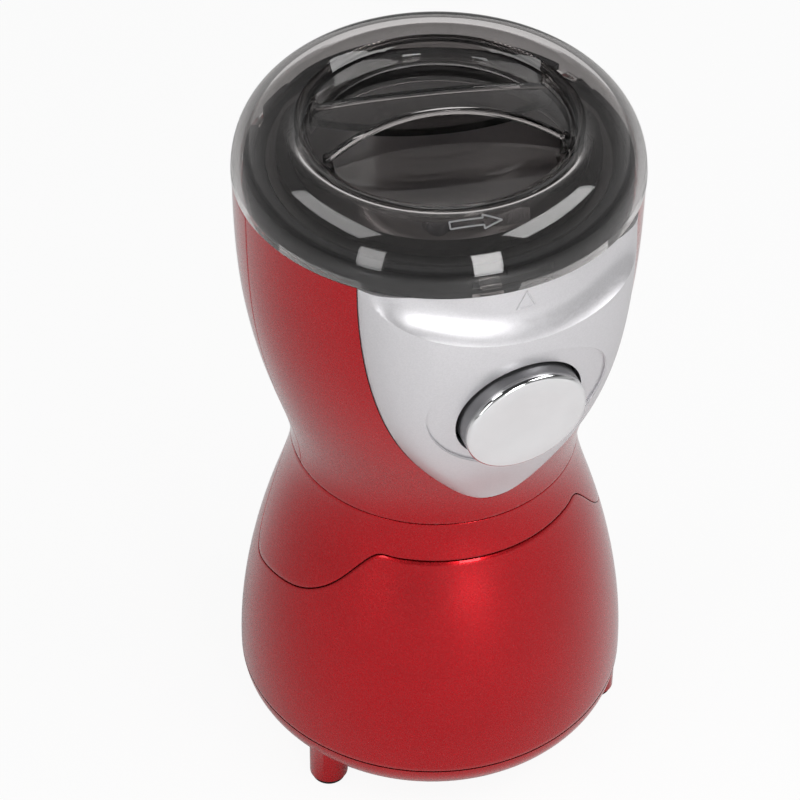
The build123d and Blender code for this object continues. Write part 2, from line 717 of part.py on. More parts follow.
def screw(x, y, seat, length):
    """Slotted pan-head screw that points up, with the head's bearing face at a height."""
    low = seat - SCREW_HEAD_HEIGHT
    head = disc(SCREW_HEAD_RADIUS, low, seat, x, y)
    shank = disc(SCREW_RADIUS, seat - 0.5, seat + length, x, y)
    slot = block(x - 0.4, x + 0.4, y - 2, y + 2, low - 1, low + 0.8)
    return head + shank - slot


def base_screws():
    seat = BASE_HEIGHT + SCREW_HEAD_HEIGHT + 1
    places = [front_polar(BASE_SCREW_RING, angle) for angle in BASE_SCREW_ANGLES]
    return group(*[screw(x, y, seat - TINY, SCREW_LENGTH) for x, y in places])


# -------------------------------------------------------------- bowl and holder
def bowl_curve(radius, floor, floor_radius, corner):
    """Half section of the bowl's wall: down the side, round the corner, along the floor."""
    side_end = floor + corner
    mouth = (radius, 0, WEB_TOP)
    start = (floor_radius + corner * 0.75, 0, side_end)
    side = Spline(mouth, start, tangents=((0, 0, -1), (-0.35, 0, -1)))
    turn = Spline(start, (floor_radius, 0, floor), tangents=((-0.35, 0, -1), (-1, 0, 0)))
    return [side, turn]


def bowl_solid(inset, depth):
    """Solid bounded by the bowl's outside moved outwards by inset."""
    curve = bowl_curve(BOWL_MOUTH_RADIUS + inset, BOWL_FLOOR_HEIGHT - depth,
                       BOWL_FLOOR_RADIUS + inset, BOWL_CORNER)
    floor = curve[1] @ 1
    return revolved(
        Line((0, 0, WEB_TOP), curve[0] @ 0),
        curve[0],
        curve[1],
        Line(floor, (0, 0, floor.Z)),
        Line((0, 0, floor.Z), (0, 0, WEB_TOP)),
    )


def grinding_bowl():
    """Pressed steel bowl with a flange on the holder and a boss round the spindle."""
    outside = bowl_solid(BOWL_WALL, BOWL_WALL)
    inside = bowl_solid(0, 0)
    shell = outside - inside
    flange = tube(BOWL_FLANGE_RADIUS, BOWL_MOUTH_RADIUS, WEB_TOP - TINY, WEB_TOP + BOWL_WALL)
    boss = disc(BOWL_BOSS_RADIUS, BOWL_FLOOR_HEIGHT - BOWL_WALL, BOWL_FLOOR_HEIGHT + BOWL_BOSS_HEIGHT)
    bowl = shell + flange + boss
    return only_solid(bowl - disc(BUSH_RADIUS - BOWL_WALL, 0, BOWL_FLOOR_HEIGHT + BOWL_BOSS_HEIGHT + 5))


def bayonet_slots():
    """L-shaped slots that the lid's lugs drop into and turn along."""
    slots = []
    for angle in LUG_ANGLES:
        entry = wedge(angle + SLOT_START, angle + SLOT_ENTRY_END, SLOT_FLOOR, RING_TOP + 1)
        run = wedge(angle + SLOT_START, angle + SLOT_END, SLOT_FLOOR, SLOT_TOP)
        slots.append(entry + run)
    outside = tube(STOCK, RING_RADIUS - RING_WALL - 1, SLOT_FLOOR, RING_TOP + 1)
    return [slot & outside for slot in slots]


def bayonet_ring():
    """Black ring that the lid locks on, with the web that carries bowl and holder."""
    ring = tube(RING_RADIUS, RING_RADIUS - RING_WALL, HOLDER_LEDGE_HEIGHT + TINY, RING_TOP)
    for slot in bayonet_slots():
        ring = ring - slot
    foot = tube(RING_RADIUS, HOLDER_LEDGE_RADIUS, HOLDER_LEDGE_HEIGHT + TINY, HOLDER_LEDGE_HEIGHT + 3)
    foot = foot & body_of_revolution(WALL + FIT_GAP)
    mouth = BOWL_MOUTH_RADIUS + BOWL_WALL + FIT_GAP
    web = tube(RING_RADIUS - RING_WALL + 0.5, mouth, WEB_TOP - WEB_THICKNESS, WEB_TOP - 2 * TINY)
    ring = ring + foot + web
    for angle in LEDGE_SCREW_ANGLES:
        x, y = front_polar(LEDGE_SCREW_RING, angle)
        low = HOLDER_LEDGE_HEIGHT + TINY
        ring = ring + (disc(3.0, low, low + 9, x, y) & disc(RING_RADIUS - 0.5, low, low + 9))
        ring = ring - disc(SCREW_RADIUS + TINY, low - 1, low + 8, x, y)
    return only_solid(ring)


def bowl_holder():
    """Black cup round the bowl: a flange under the ring's web, and posts for the motor."""
    gap = BOWL_WALL + FIT_GAP
    mouth = BOWL_MOUTH_RADIUS + gap
    top = WEB_TOP - WEB_THICKNESS - TINY
    cup = bowl_solid(gap + HOLDER_WALL, gap + HOLDER_FLOOR_THICKNESS) - bowl_solid(gap, gap)
    cup = cup & disc(STOCK, 0, top)
    cup_floor = BOWL_FLOOR_HEIGHT - gap - HOLDER_FLOOR_THICKNESS
    flange = tube(mouth + HOLDER_WALL + CUP_FLANGE_WIDTH, mouth + 0.5, top - CUP_FLANGE_THICKNESS, top)
    holder = cup + flange + disc(BRACKET_HUB_RADIUS, cup_floor - 3, cup_floor + 1)
    for angle in POST_ANGLES:
        x, y = front_polar(POST_RING_RADIUS, angle)
        post = disc(POST_RADIUS, POST_FOOT_HEIGHT, BOWL_FLOOR_HEIGHT + 3, x, y) - bowl_solid(gap, gap)
        holder = holder + post
        holder = holder - disc(SCREW_RADIUS + TINY, POST_FOOT_HEIGHT - 1, cup_floor + 1, x, y)
    holder = holder - disc(BUSH_RADIUS - BOWL_WALL, 0, RING_TOP)
    return only_solid(holder)


def holder_screws():
    """Screws up through the shells' ledge into the holder."""
    seat = HOLDER_LEDGE_HEIGHT - HOLDER_LEDGE_THICKNESS - TINY
    places = [front_polar(LEDGE_SCREW_RING, angle) for angle in LEDGE_SCREW_ANGLES]
    return group(*[screw(x, y, seat, 8) for x, y in places])


def shaft_seal():
    """Rubber lip seal between the bowl's boss and the spindle."""
    low = BOWL_FLOOR_HEIGHT - 6
    high = BOWL_FLOOR_HEIGHT + BOWL_BOSS_HEIGHT
    body = tube(BUSH_RADIUS - BOWL_WALL - TINY, SPINDLE_RADIUS + RUN_GAP, low, high)
    body = body + tube(BUSH_RADIUS - BOWL_WALL - TINY, SPINDLE_RADIUS + RUN_GAP, high - 1, high + 1)
    cap = tube(BOWL_BOSS_RADIUS, SPINDLE_RADIUS + RUN_GAP, high + TINY, high + 1.2)
    return only_solid(body + cap)


# --------------------------------------------------------------------------- lid
def lid_outline(inset):
    """Outer side of the lid from its bottom edge to the edge of the crest."""
    points = [
        (LID_RADIUS - inset, 0, LID_BOTTOM),
        (LID_SIDE_RADIUS - inset, 0, LID_SIDE_HEIGHT - 0.2 * inset),
        (LID_SHOULDER_RADIUS - 0.75 * inset, 0, LID_SHOULDER_HEIGHT - 0.7 * inset),
        (LID_CREST_RADIUS, 0, LID_CREST_HEIGHT - inset),
    ]
    return Spline(*points, tangents=((0, 0, 1), (-1, 0, 0)))


def grip_sides(low, high):
    """Grip bar between the two wells: concave sides, wider at both ends."""
    depth = GRIP_END_HALF_WIDTH - GRIP_HALF_WIDTH
    radius = (BAND_RADIUS ** 2 + depth ** 2) / (2 * depth)
    reach, half = BAND_RADIUS + 1, GRIP_END_HALF_WIDTH + 1
    bar = block(-reach, reach, -half, half, low, high)
    for side in (-1, 1):
        bar = bar - disc(radius, low - 1, high + 1, 0, side * (GRIP_HALF_WIDTH + radius))
    return bar


def grip_form(inset):
    """Round form of the grip: a column under a shallow spherical crown."""
    low, high = BAND_HEIGHT - inset, GRIP_HEIGHT - inset
    rise = high - low
    radius = (BAND_RADIUS ** 2 + rise ** 2) / (2 * rise)
    crown = Pos(0, 0, high - radius) * Sphere(radius)
    return disc(BAND_RADIUS - inset, WELL_FLOOR_HEIGHT - 2 * LID_WALL, high + 1) & crown


def lid():
    """Clear cover: dome wall, crest, band, two finger wells, grip, skirt and lugs."""
    wall = LID_WALL
    outer, inner = lid_outline(0), lid_outline(wall)
    crest_out, crest_in = outer @ 1, inner @ 1
    edge = (CREST_EDGE_RADIUS, 0, CREST_EDGE_HEIGHT)
    edge_in = (CREST_EDGE_RADIUS, 0, CREST_EDGE_HEIGHT - wall)
    band = (BAND_RADIUS, 0, BAND_HEIGHT)
    band_in = (BAND_RADIUS, 0, BAND_HEIGHT - wall)
    cover = revolved(
        Line((LID_RADIUS - wall, 0, LID_BOTTOM), (LID_RADIUS, 0, LID_BOTTOM)),
        outer,
        Line(crest_out, edge),
        Line(edge, band),
        Line(band, band_in),
        Line(band_in, edge_in),
        Line(edge_in, crest_in),
        inner,
    )
    floor_low = WELL_FLOOR_HEIGHT - wall
    well_wall = Cone(WELL_FLOOR_RADIUS + wall, BAND_RADIUS + wall, BAND_HEIGHT - floor_low)
    well_space = Cone(WELL_FLOOR_RADIUS, BAND_RADIUS, BAND_HEIGHT - WELL_FLOOR_HEIGHT)
    cup = Pos(0, 0, (BAND_HEIGHT + floor_low) / 2) * well_wall
    space = Pos(0, 0, (BAND_HEIGHT + WELL_FLOOR_HEIGHT) / 2) * well_space
    pan = cup - space - disc(STOCK, BAND_HEIGHT - TINY, BAND_HEIGHT + 1)
    grip_outer = grip_sides(floor_low, GRIP_HEIGHT + 1) & grip_form(0)
    bar = grip_sides(floor_low - 1, GRIP_HEIGHT + 1)
    narrower = bar & (Pos(0, wall, 0) * bar) & (Pos(0, -wall, 0) * bar)
    hollow = narrower & grip_form(wall)
    body = cover + pan + grip_outer - hollow
    skirt = tube(SKIRT_RADIUS, SKIRT_RADIUS - SKIRT_WALL, SKIRT_BOTTOM, CREST_EDGE_HEIGHT - wall / 2)
    body = body + skirt
    for angle in LUG_ANGLES:
        sector = wedge(angle + LUG_LEAD - LUG_WIDTH / 2, angle + LUG_LEAD + LUG_WIDTH / 2,
                       LUG_HEIGHT, LUG_HEIGHT + LUG_THICKNESS)
        lug = sector & tube(LID_RADIUS - wall + 0.6, LUG_INNER_RADIUS, LUG_HEIGHT, LUG_HEIGHT + LUG_THICKNESS)
        body = body + lug
    body = only_solid(only_solid(body) + arrow_mark())
    return turned(body, LID_REST_TURN)


def lid_skin(rise):
    """Everything under the lid's outer side, moved outwards by rise."""
    side = lid_outline(-rise)
    return revolved(
        Line((0, 0, LID_BOTTOM), side @ 0),
        side,
        Line(side @ 1, (0, 0, (side @ 1).Z)),
        Line((0, 0, (side @ 1).Z), (0, 0, LID_BOTTOM)),
    )


def arrow_mark():
    """Raised outline of an arrow on the shoulder that shows which way to turn."""
    half, line = ARROW_LENGTH / 2, ARROW_LINE
    outer = [(-half, -1.2), (half - 4.5, -1.2), (half - 4.5, -2.3), (half, 0),
             (half - 4.5, 2.3), (half - 4.5, 1.2), (-half, 1.2)]
    neck = half - 4.5 + line
    inner = [(-half + line, -1.2 + line), (neck, -1.2 + line), (neck, -2.3 + 1.6 * line),
             (half - 2.2 * line, 0), (neck, 2.3 - 1.6 * line), (neck, 1.2 - line),
             (-half + line, 1.2 - line)]
    faces = [make_face(Polyline(*[(x, y, 0) for x, y in ring], close=True)) for ring in (outer, inner)]
    outline = extrude(faces[0], GRIP_HEIGHT) - extrude(faces[1], GRIP_HEIGHT)
    outline = turned(Pos(0, -ARROW_RADIUS, 0) * outline, ARROW_ANGLE)
    return outline & (lid_skin(ARROW_RAISE) - lid_skin(-LID_WALL / 2))


def lid_seal():
    """Soft ring round the lid's skirt, lying on the bowl's flange."""
    low = WEB_TOP + BOWL_WALL + FIT_GAP
    return tube(SEAL_RADIUS, SEAL_RADIUS - SEAL_WALL, low, low + SEAL_HEIGHT)


# ------------------------------------------------------------------------- motor
def bush(low):
    return tube(BUSH_RADIUS, SPINDLE_RADIUS + RUN_GAP, low, low + BUSH_LENGTH)


def motor_bracket(height, upper):
    """Round bracket with a hub for its bush and holes for the long bolts."""
    plate = disc(BRACKET_RADIUS, height, height + BRACKET_THICKNESS)
    hub_low = height - 3 if upper else height - 5
    hub = disc(BRACKET_HUB_RADIUS, hub_low, hub_low + BUSH_LENGTH)
    bracket = plate + hub - disc(BUSH_RADIUS + TINY, 0, RIM_HEIGHT)
    for side in (-1, 1):
        for x, y in ((side * 19, 0), (0, side * 19)):
            bracket = bracket - disc(5.5, height - 1, height + BRACKET_THICKNESS + 1, x, y)
    for angle in POST_ANGLES:
        x, y = front_polar(POST_RING_RADIUS, angle)
        if upper:
            bracket = bracket - disc(CLEARANCE_HOLE, height - 1, height + BRACKET_THICKNESS + 1, x, y)
    for x, y in bolt_places():
        bracket = bracket - disc(BOLT_RADIUS + 0.05, height - 1, height + BRACKET_THICKNESS + 1, x, y)
    return only_solid(bracket)


def bolt_places():
    return [(BOLT_RING_RADIUS, 0), (-BOLT_RING_RADIUS, 0)]


def motor_dampers():
    """Rubber washers between the holder's posts and the upper bracket."""
    low = UPPER_BRACKET_HEIGHT + BRACKET_THICKNESS + TINY
    pieces = []
    for angle in POST_ANGLES:
        x, y = front_polar(POST_RING_RADIUS, angle)
        pieces.append(tube(DAMPER_RADIUS, SCREW_RADIUS + 0.2, low, POST_FOOT_HEIGHT - TINY, x, y))
    return group(*pieces)


def motor_screws():
    """Screws up through the upper bracket and the dampers into the posts."""
    places = [front_polar(POST_RING_RADIUS, angle) for angle in POST_ANGLES]
    return group(*[screw(x, y, UPPER_BRACKET_HEIGHT - TINY, 14) for x, y in places])


def motor_bolts():
    """Long bolts that hold the two brackets together."""
    bolts = []
    for x, y in bolt_places():
        low = LOWER_BRACKET_HEIGHT - TINY
        high = UPPER_BRACKET_HEIGHT + BRACKET_THICKNESS + 2
        head = disc(BOLT_HEAD_RADIUS, low - 2.2, low, x, y)
        bolts.append(head + disc(BOLT_RADIUS, low - 1, high, x, y))
    return group(*bolts)


def stator_core():
    """Laminated stack with a bore for the armature and grooves for the bolts."""
    top = STACK_BOTTOM + STACK_HEIGHT
    square = RectangleRounded(STACK_SIZE, STACK_SIZE, STACK_CORNER)
    stack = Pos(0, 0, STACK_BOTTOM) * extrude(square, STACK_HEIGHT)
    stack = stack - disc(STACK_BORE, STACK_BOTTOM - 1, top + 1)
    for side in (-1, 1):
        window_near, window_far = STACK_SIZE / 2 - COIL_THICKNESS - 2.5, STACK_SIZE / 2 - 2.0
        low, high = sorted((side * window_near, side * window_far))
        window = block(-COIL_WIDTH / 2 - 0.4, COIL_WIDTH / 2 + 0.4, low, high, STACK_BOTTOM - 1, top + 1)
        stack = stack - window
    return only_solid(stack)


def field_coils():
    """Two field windings in the stack's windows."""
    coils = []
    top = STACK_BOTTOM + STACK_HEIGHT
    for side in (-1, 1):
        near = side * (STACK_SIZE / 2 - 2.0 - 0.3 - COIL_THICKNESS + 0.4)
        far = side * (STACK_SIZE / 2 - 2.0 - 0.3)
        low, high = sorted((near, far))
        coil = block(-COIL_WIDTH / 2, COIL_WIDTH / 2, low, high,
                     STACK_BOTTOM - COIL_OVERHANG, top + COIL_OVERHANG)
        coils.append(fillet(coil.edges().filter_by(Axis.Y), 3.0))
    return group(*coils)


def spindle():
    return disc(SPINDLE_RADIUS, SPINDLE_BOTTOM, BLADE_HEIGHT + BLADE_THICKNESS + NUT_HEIGHT - 1)


def on_spindle(shape):
    """Piece pressed on the spindle."""
    return only_solid(shape - disc(SPINDLE_RADIUS, 0, 2 * RIM_HEIGHT))


def armature_core():
    """Slotted armature stack."""
    core = disc(ARMATURE_RADIUS, STACK_BOTTOM, STACK_BOTTOM + STACK_HEIGHT)
    for step in range(COMMUTATOR_BARS):
        slot = block(-1.0, 1.0, ARMATURE_RADIUS - 5, ARMATURE_RADIUS + 1, STACK_BOTTOM - 1,
                     STACK_BOTTOM + STACK_HEIGHT + 1)
        core = core - turned(slot, step * 360 / COMMUTATOR_BARS)
    return on_spindle(core)


def armature_windings():
    """End windings above and below the armature stack."""
    top = STACK_BOTTOM + STACK_HEIGHT
    upper = disc(WINDING_RADIUS, top + TINY, top + WINDING_HEIGHT)
    lower = disc(WINDING_RADIUS, STACK_BOTTOM - WINDING_HEIGHT, STACK_BOTTOM - TINY)
    upper = fillet(upper.edges().group_by(Axis.Z)[-1], 3.0)
    lower = fillet(lower.edges().group_by(Axis.Z)[0], 3.0)
    return group(on_spindle(upper), on_spindle(lower))


def commutator():
    body = disc(COMMUTATOR_RADIUS, COMMUTATOR_BOTTOM, COMMUTATOR_BOTTOM + COMMUTATOR_HEIGHT)
    for step in range(COMMUTATOR_BARS):
        slit = block(-0.25, 0.25, COMMUTATOR_RADIUS - 1, COMMUTATOR_RADIUS + 1, COMMUTATOR_BOTTOM - 1,
                     COMMUTATOR_BOTTOM + COMMUTATOR_HEIGHT + 1)
        body = body - turned(slit, step * 360 / COMMUTATOR_BARS)
    return on_spindle(body)


def brush_height():
    return COMMUTATOR_BOTTOM + COMMUTATOR_HEIGHT / 2


def carbon_brushes():
    pieces = []
    for side in (-1, 1):
        tip = COMMUTATOR_RADIUS + 0.1
        near, far = sorted((side * tip, side * (tip + BRUSH_LENGTH)))
        half = BRUSH_SIZE / 2
        middle = brush_height()
        pieces.append(block(near, far, -half, half, middle - half, middle + half))
    return group(*pieces)


def brush_holders():
    """Two boxes on the lower bracket that guide the brushes."""
    pieces = []
    middle = brush_height()
    for side in (-1, 1):
        near, far = sorted((side * (COMMUTATOR_RADIUS + 2), side * (COMMUTATOR_RADIUS + 2 + 13)))
        half = HOLDER_BOX / 2
        foot = LOWER_BRACKET_HEIGHT + BRACKET_THICKNESS + TINY
        box = block(near, far, -half, half, foot, middle + half)
        window = BRUSH_SIZE / 2 + 0.1
        inner_end, outer_end = sorted((side * COMMUTATOR_RADIUS, side * (COMMUTATOR_RADIUS + 13)))
        channel = block(inner_end, outer_end, -window, window, middle - window, middle + window)
        pieces.append(box - channel)
    return group(*pieces)


def cooling_fan():
    """Axial fan under the lower bracket."""
    hub = disc(FAN_HUB_RADIUS, FAN_BOTTOM, FAN_BOTTOM + FAN_HEIGHT)
    fan = hub
    for step in range(FAN_BLADES):
        blade = Box(FAN_RADIUS - FAN_HUB_RADIUS + 2, 1.2, FAN_HEIGHT + 1.5)
        blade = Rot(35, 0, 0) * blade
        blade = Pos((FAN_RADIUS + FAN_HUB_RADIUS) / 2 - 1, 0, FAN_BOTTOM + FAN_HEIGHT / 2) * blade
        fan = fan + turned(blade, step * 360 / FAN_BLADES)
    fan = fan & disc(FAN_RADIUS, FAN_BOTTOM, FAN_BOTTOM + FAN_HEIGHT)
    return on_spindle(fan)


# ------------------------------------------------------------------------- blade
def blade():
    """Two-winged blade with its tips bent, one up and one down."""
    low = BLADE_HEIGHT
    flat = block(-BLADE_FLAT, BLADE_FLAT, -BLADE_WIDTH / 2, BLADE_WIDTH / 2, low, low + BLADE_THICKNESS)
    tip_length = BLADE_LENGTH - BLADE_FLAT
    bar = flat
    for side in (-1, 1):
        tip = block(-1, tip_length, -BLADE_WIDTH / 2, BLADE_WIDTH / 2,
                    -BLADE_THICKNESS / 2, BLADE_THICKNESS / 2)
        bend = Rot(0, -side * BLADE_BEND, 0) * tip
        tip = Pos(BLADE_FLAT, 0, low + BLADE_THICKNESS / 2) * bend
        bar = bar + turned(tip, 0 if side > 0 else 180)
    return on_spindle(bar)


def blade_hub():
    """Collar that carries the blade just above the shaft seal."""
    low = BOWL_FLOOR_HEIGHT + BOWL_BOSS_HEIGHT + 1.2 + FIT_GAP
    return on_spindle(disc(HUB_RADIUS, low, BLADE_HEIGHT - TINY))


def blade_nut():
    """Domed nut on the blade."""
    low = BLADE_HEIGHT + BLADE_THICKNESS + TINY
    hexagon = extrude(RegularPolygon(NUT_SIZE / 2, 6, major_radius=False), NUT_HEIGHT)
    body = Pos(0, 0, low) * hexagon
    dome_cap = Pos(0, 0, low + NUT_HEIGHT - 1.5) * Sphere(NUT_SIZE / 2 - 0.3)
    body = body + (dome_cap & disc(STOCK, low + NUT_HEIGHT - 1, low + NUT_HEIGHT + 6))
    return on_spindle(body - disc(SPINDLE_RADIUS, 0, BLADE_HEIGHT + BLADE_THICKNESS + NUT_HEIGHT - 1 + TINY))


# ------------------------------------------------------------- button and switch
def button_cap():
    """Hollow button with a dished face, a flange behind the panel and a stem."""
    body = along_button(BUTTON_RADIUS, 0, BUTTON_DEPTH)
    face_edges = body.edges().filter_by(GeomType.CIRCLE).sort_by(Axis.Y)
    body = fillet(face_edges[0], BUTTON_EDGE)
    flange = along_button(BUTTON_FLANGE_RADIUS, BUTTON_DEPTH - BUTTON_FLANGE_HEIGHT, BUTTON_DEPTH)
    hollow = along_button(BUTTON_RADIUS - BUTTON_WALL, BUTTON_WALL + BUTTON_DISH_DEPTH, BUTTON_DEPTH + 1)
    stem = along_button(STEM_RADIUS, BUTTON_WALL, STEM_LENGTH, STEM_DROP)
    radius = (BUTTON_DISH_RADIUS ** 2 + BUTTON_DISH_DEPTH ** 2) / (2 * BUTTON_DISH_DEPTH)
    dish = button_frame() * (Pos(0, 0, radius - BUTTON_DISH_DEPTH) * Sphere(radius))
    return only_solid(body + flange - hollow + stem - dish)


def button_spring():
    """Return spring on the stem, between the button and the retainer."""
    height = BUTTON_DEPTH + BUTTON_TRAVEL + FIT_GAP - 2 * SPRING_WIRE - BUTTON_WALL - BUTTON_DISH_DEPTH - 0.1
    path = Helix(height / SPRING_TURNS, height, SPRING_RADIUS)
    profile = Plane(origin=path @ 0, z_dir=path % 0) * Circle(SPRING_WIRE)
    coil = sweep(profile, path, is_frenet=True)
    start = -(BUTTON_WALL + BUTTON_DISH_DEPTH + height + SPRING_WIRE + 0.05)
    return button_frame() * (Pos(0, -STEM_DROP, start) * coil)


def button_retainer():
    """Plate that closes the sleeve behind the button and guides the stem."""
    near = BUTTON_DEPTH + BUTTON_TRAVEL + FIT_GAP + TINY
    plate = along_button(GUIDE_RADIUS + GUIDE_WALL, near, near + RETAINER_THICKNESS)
    plate = plate & body_of_revolution(WALL + FIT_GAP)
    return only_solid(plate - along_button(STEM_RADIUS + 0.3, near - 1, near + 3, STEM_DROP))


def switch_places():
    """Depth of the power switch's front face behind the button's face."""
    return STEM_LENGTH + BUTTON_TRAVEL + FIT_GAP + PLUNGER_HEIGHT


def power_switch():
    """Snap switch with its plunger on the button's stem."""
    near = switch_places()
    body = Box(SWITCH_LENGTH, SWITCH_HEIGHT, SWITCH_DEPTH)
    box = button_frame() * (Pos(0, -SWITCH_DROP, -near - SWITCH_DEPTH / 2) * body)
    plunger = along_button(PLUNGER_RADIUS, near - PLUNGER_HEIGHT, near + 1, STEM_DROP)
    tabs = []
    for x in (-7, 0, 7):
        blade_tab = Pos(x, -SWITCH_DROP, -near - SWITCH_DEPTH - 2) * Box(3, 0.8, 4.4)
        tabs.append(button_frame() * blade_tab)
    switch = box + plunger
    for tab in tabs:
        switch = switch + tab
    return only_solid(switch)


def switch_bracket():
    """U-shaped bracket that holds the switch on the button's retainer."""
    near = BUTTON_DEPTH + BUTTON_TRAVEL + FIT_GAP + RETAINER_THICKNESS + 2 * TINY
    far = switch_places() + SWITCH_DEPTH
    depth = far - near
    half = SWITCH_LENGTH / 2 + TINY
    outer = Box(2 * half + 2 * BRACKET_PLATE, SWITCH_HEIGHT + BRACKET_PLATE + TINY, depth)
    outer = Pos(0, -SWITCH_DROP - (BRACKET_PLATE + TINY) / 2, -(near + far) / 2) * outer
    room = Box(2 * half, SWITCH_HEIGHT + 4, depth + 2)
    room = Pos(0, -SWITCH_DROP + 2 - TINY, -(near + far) / 2) * room
    return only_solid(button_frame() * (outer - room))


# ------------------------------------------------------------------- electronics
def circuit_board():
    low, high = BOARD_HEIGHT + TINY, BOARD_HEIGHT + BOARD_THICKNESS
    half = BOARD_WIDTH / 2
    return block(-BOARD_LENGTH / 2, BOARD_LENGTH / 2, BOARD_Y - half, BOARD_Y + half, low, high)


def capacitor():
    low = BOARD_HEIGHT + BOARD_THICKNESS + TINY
    body = Rot(0, 90, 0) * Cylinder(CAPACITOR_RADIUS, CAPACITOR_LENGTH)
    body = Pos(-10, BOARD_Y + 3, low + CAPACITOR_RADIUS) * body
    foot = block(-16, -4, BOARD_Y + 1, BOARD_Y + 5, low, low + 2)
    return only_solid(body + foot)


def bridge_rectifier():
    low = BOARD_HEIGHT + BOARD_THICKNESS + TINY
    half = BRIDGE_SIZE / 2
    return block(10 - half, 10 + half, BOARD_Y - half, BOARD_Y + half, low, low + 4)


def terminal_block():
    """Screw terminals on the base plate, just inside the cord inlet."""
    low = BASE_HEIGHT + BASE_FLOOR + TINY
    half = TERMINAL_LENGTH / 2
    near, far = TERMINAL_Y - TERMINAL_WIDTH / 2, TERMINAL_Y + TERMINAL_WIDTH / 2
    body = block(-half, half, near, far, low, low + TERMINAL_HEIGHT)
    for x in (-TERMINAL_LENGTH / 4, TERMINAL_LENGTH / 4):
        body = body - disc(1.8, low + 3, low + TERMINAL_HEIGHT + 1, x, TERMINAL_Y)
    return only_solid(body)


def cord_inlet():
    """Bush that lines the hole for the mains cord in the back of the lower shell."""
    outside = wall_radius(INLET_HEIGHT)
    inside = outside - WALL
    axis = Rot(90, 0, 0)

    def barrel(radius, near, far):
        return Pos(0, (near + far) / 2, INLET_HEIGHT) * (axis * Cylinder(radius, far - near))

    body = barrel(INLET_HOLE_RADIUS, inside - 3, outside + INLET_FLANGE)
    collar = barrel(INLET_FLANGE_RADIUS, outside - 2, outside + INLET_FLANGE) - body_of_revolution(-TINY)
    back = barrel(INLET_FLANGE_RADIUS - 0.8, inside - 3, inside + 2) & body_of_revolution(WALL + TINY)
    return only_solid(body + collar + back - barrel(INLET_BORE, inside - 5, outside + 5))


# ------------------------------------------------------------------------- write
front_shell, rear_shell = upper_shells()
NODES = {
    "upper_front_shell": front_shell,
    "upper_rear_shell": rear_shell,
    "control_panel": control_panel(),
    "middle_collar": middle_collar(),
    "lower_shell": lower_shell(),
    "base_plate": base_plate(),
    "rubber_feet": rubber_feet(),
    "base_screws": base_screws(),
    "bayonet_ring": bayonet_ring(),
    "bowl_holder": bowl_holder(),
    "holder_screws": holder_screws(),
    "grinding_bowl": grinding_bowl(),
    "shaft_seal": shaft_seal(),
    "lid": lid(),
    "lid_seal": lid_seal(),
    "upper_bush": bush(UPPER_BRACKET_HEIGHT - 3),
    "lower_bush": bush(LOWER_BRACKET_HEIGHT - 5),
    "upper_motor_bracket": motor_bracket(UPPER_BRACKET_HEIGHT, True),
    "lower_motor_bracket": motor_bracket(LOWER_BRACKET_HEIGHT, False),
    "motor_dampers": motor_dampers(),
    "motor_screws": motor_screws(),
    "motor_bolts": motor_bolts(),
    "stator_core": stator_core(),
    "field_coils": field_coils(),
    "spindle": spindle(),
    "armature_core": armature_core(),
    "armature_windings": armature_windings(),
    "commutator": commutator(),
    "carbon_brushes": carbon_brushes(),
    "brush_holders": brush_holders(),
    "cooling_fan": cooling_fan(),
    "blade": blade(),
    "blade_hub": blade_hub(),
    "blade_nut": blade_nut(),
    "button_cap": button_cap(),
    "button_spring": button_spring(),
    "button_retainer": button_retainer(),
    "power_switch": power_switch(),
    "switch_bracket": switch_bracket(),
    "circuit_board": circuit_board(),
    "capacitor": capacitor(),
    "bridge_rectifier": bridge_rectifier(),
    "terminal_block": terminal_block(),
    "cord_inlet": cord_inlet(),
}
for node, shape in NODES.items():
    save(node, shape)
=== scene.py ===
"""Electric spice grinder: its visible pieces, finishes, lights and camera."""

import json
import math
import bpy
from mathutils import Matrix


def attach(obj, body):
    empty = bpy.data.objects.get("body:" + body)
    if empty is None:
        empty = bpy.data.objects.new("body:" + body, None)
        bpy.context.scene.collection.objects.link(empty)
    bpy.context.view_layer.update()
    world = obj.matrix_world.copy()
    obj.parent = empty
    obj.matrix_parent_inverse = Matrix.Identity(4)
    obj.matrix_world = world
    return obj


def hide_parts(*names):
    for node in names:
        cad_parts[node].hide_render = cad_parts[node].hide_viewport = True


bl_info = {
    "name": "Spice Grinder",
    "version": (1, 0, 0),
    "blender": (4, 5, 0),
    "location": "3D View > Sidebar > Grinder",
    "description": "Builds the outer pieces of an electric spice grinder round its packed frame",
    "category": "Object",
}

import bmesh
import bpy
import numpy
from bpy.props import FloatProperty, FloatVectorProperty, PointerProperty
from mathutils import Matrix, Vector

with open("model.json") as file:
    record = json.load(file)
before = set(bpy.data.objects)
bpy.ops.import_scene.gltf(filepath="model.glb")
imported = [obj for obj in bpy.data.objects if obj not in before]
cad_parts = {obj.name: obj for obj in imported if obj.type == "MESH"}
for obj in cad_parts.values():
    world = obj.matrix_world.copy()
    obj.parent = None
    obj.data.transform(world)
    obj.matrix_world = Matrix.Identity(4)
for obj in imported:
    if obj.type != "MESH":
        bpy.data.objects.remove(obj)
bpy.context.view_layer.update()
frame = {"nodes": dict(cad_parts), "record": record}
NODES = frame["nodes"]

MM = 0.001

# the packed bodies that new pieces ride on
HOUSING, BUTTON, SEAL, LID = "housing", "button", "seal_ring", "lid_body"


# ------------------------------------------------------------------- properties
def length(label, about, millimetres):
    """A size in metres, given in millimetres."""
    return FloatProperty(
        name=label, description=about, default=millimetres * MM, unit="LENGTH", precision=4
    )


def angle(label, about, degrees):
    """An angle in radians, given in degrees."""
    return FloatProperty(name=label, description=about, default=math.radians(degrees), subtype="ANGLE")


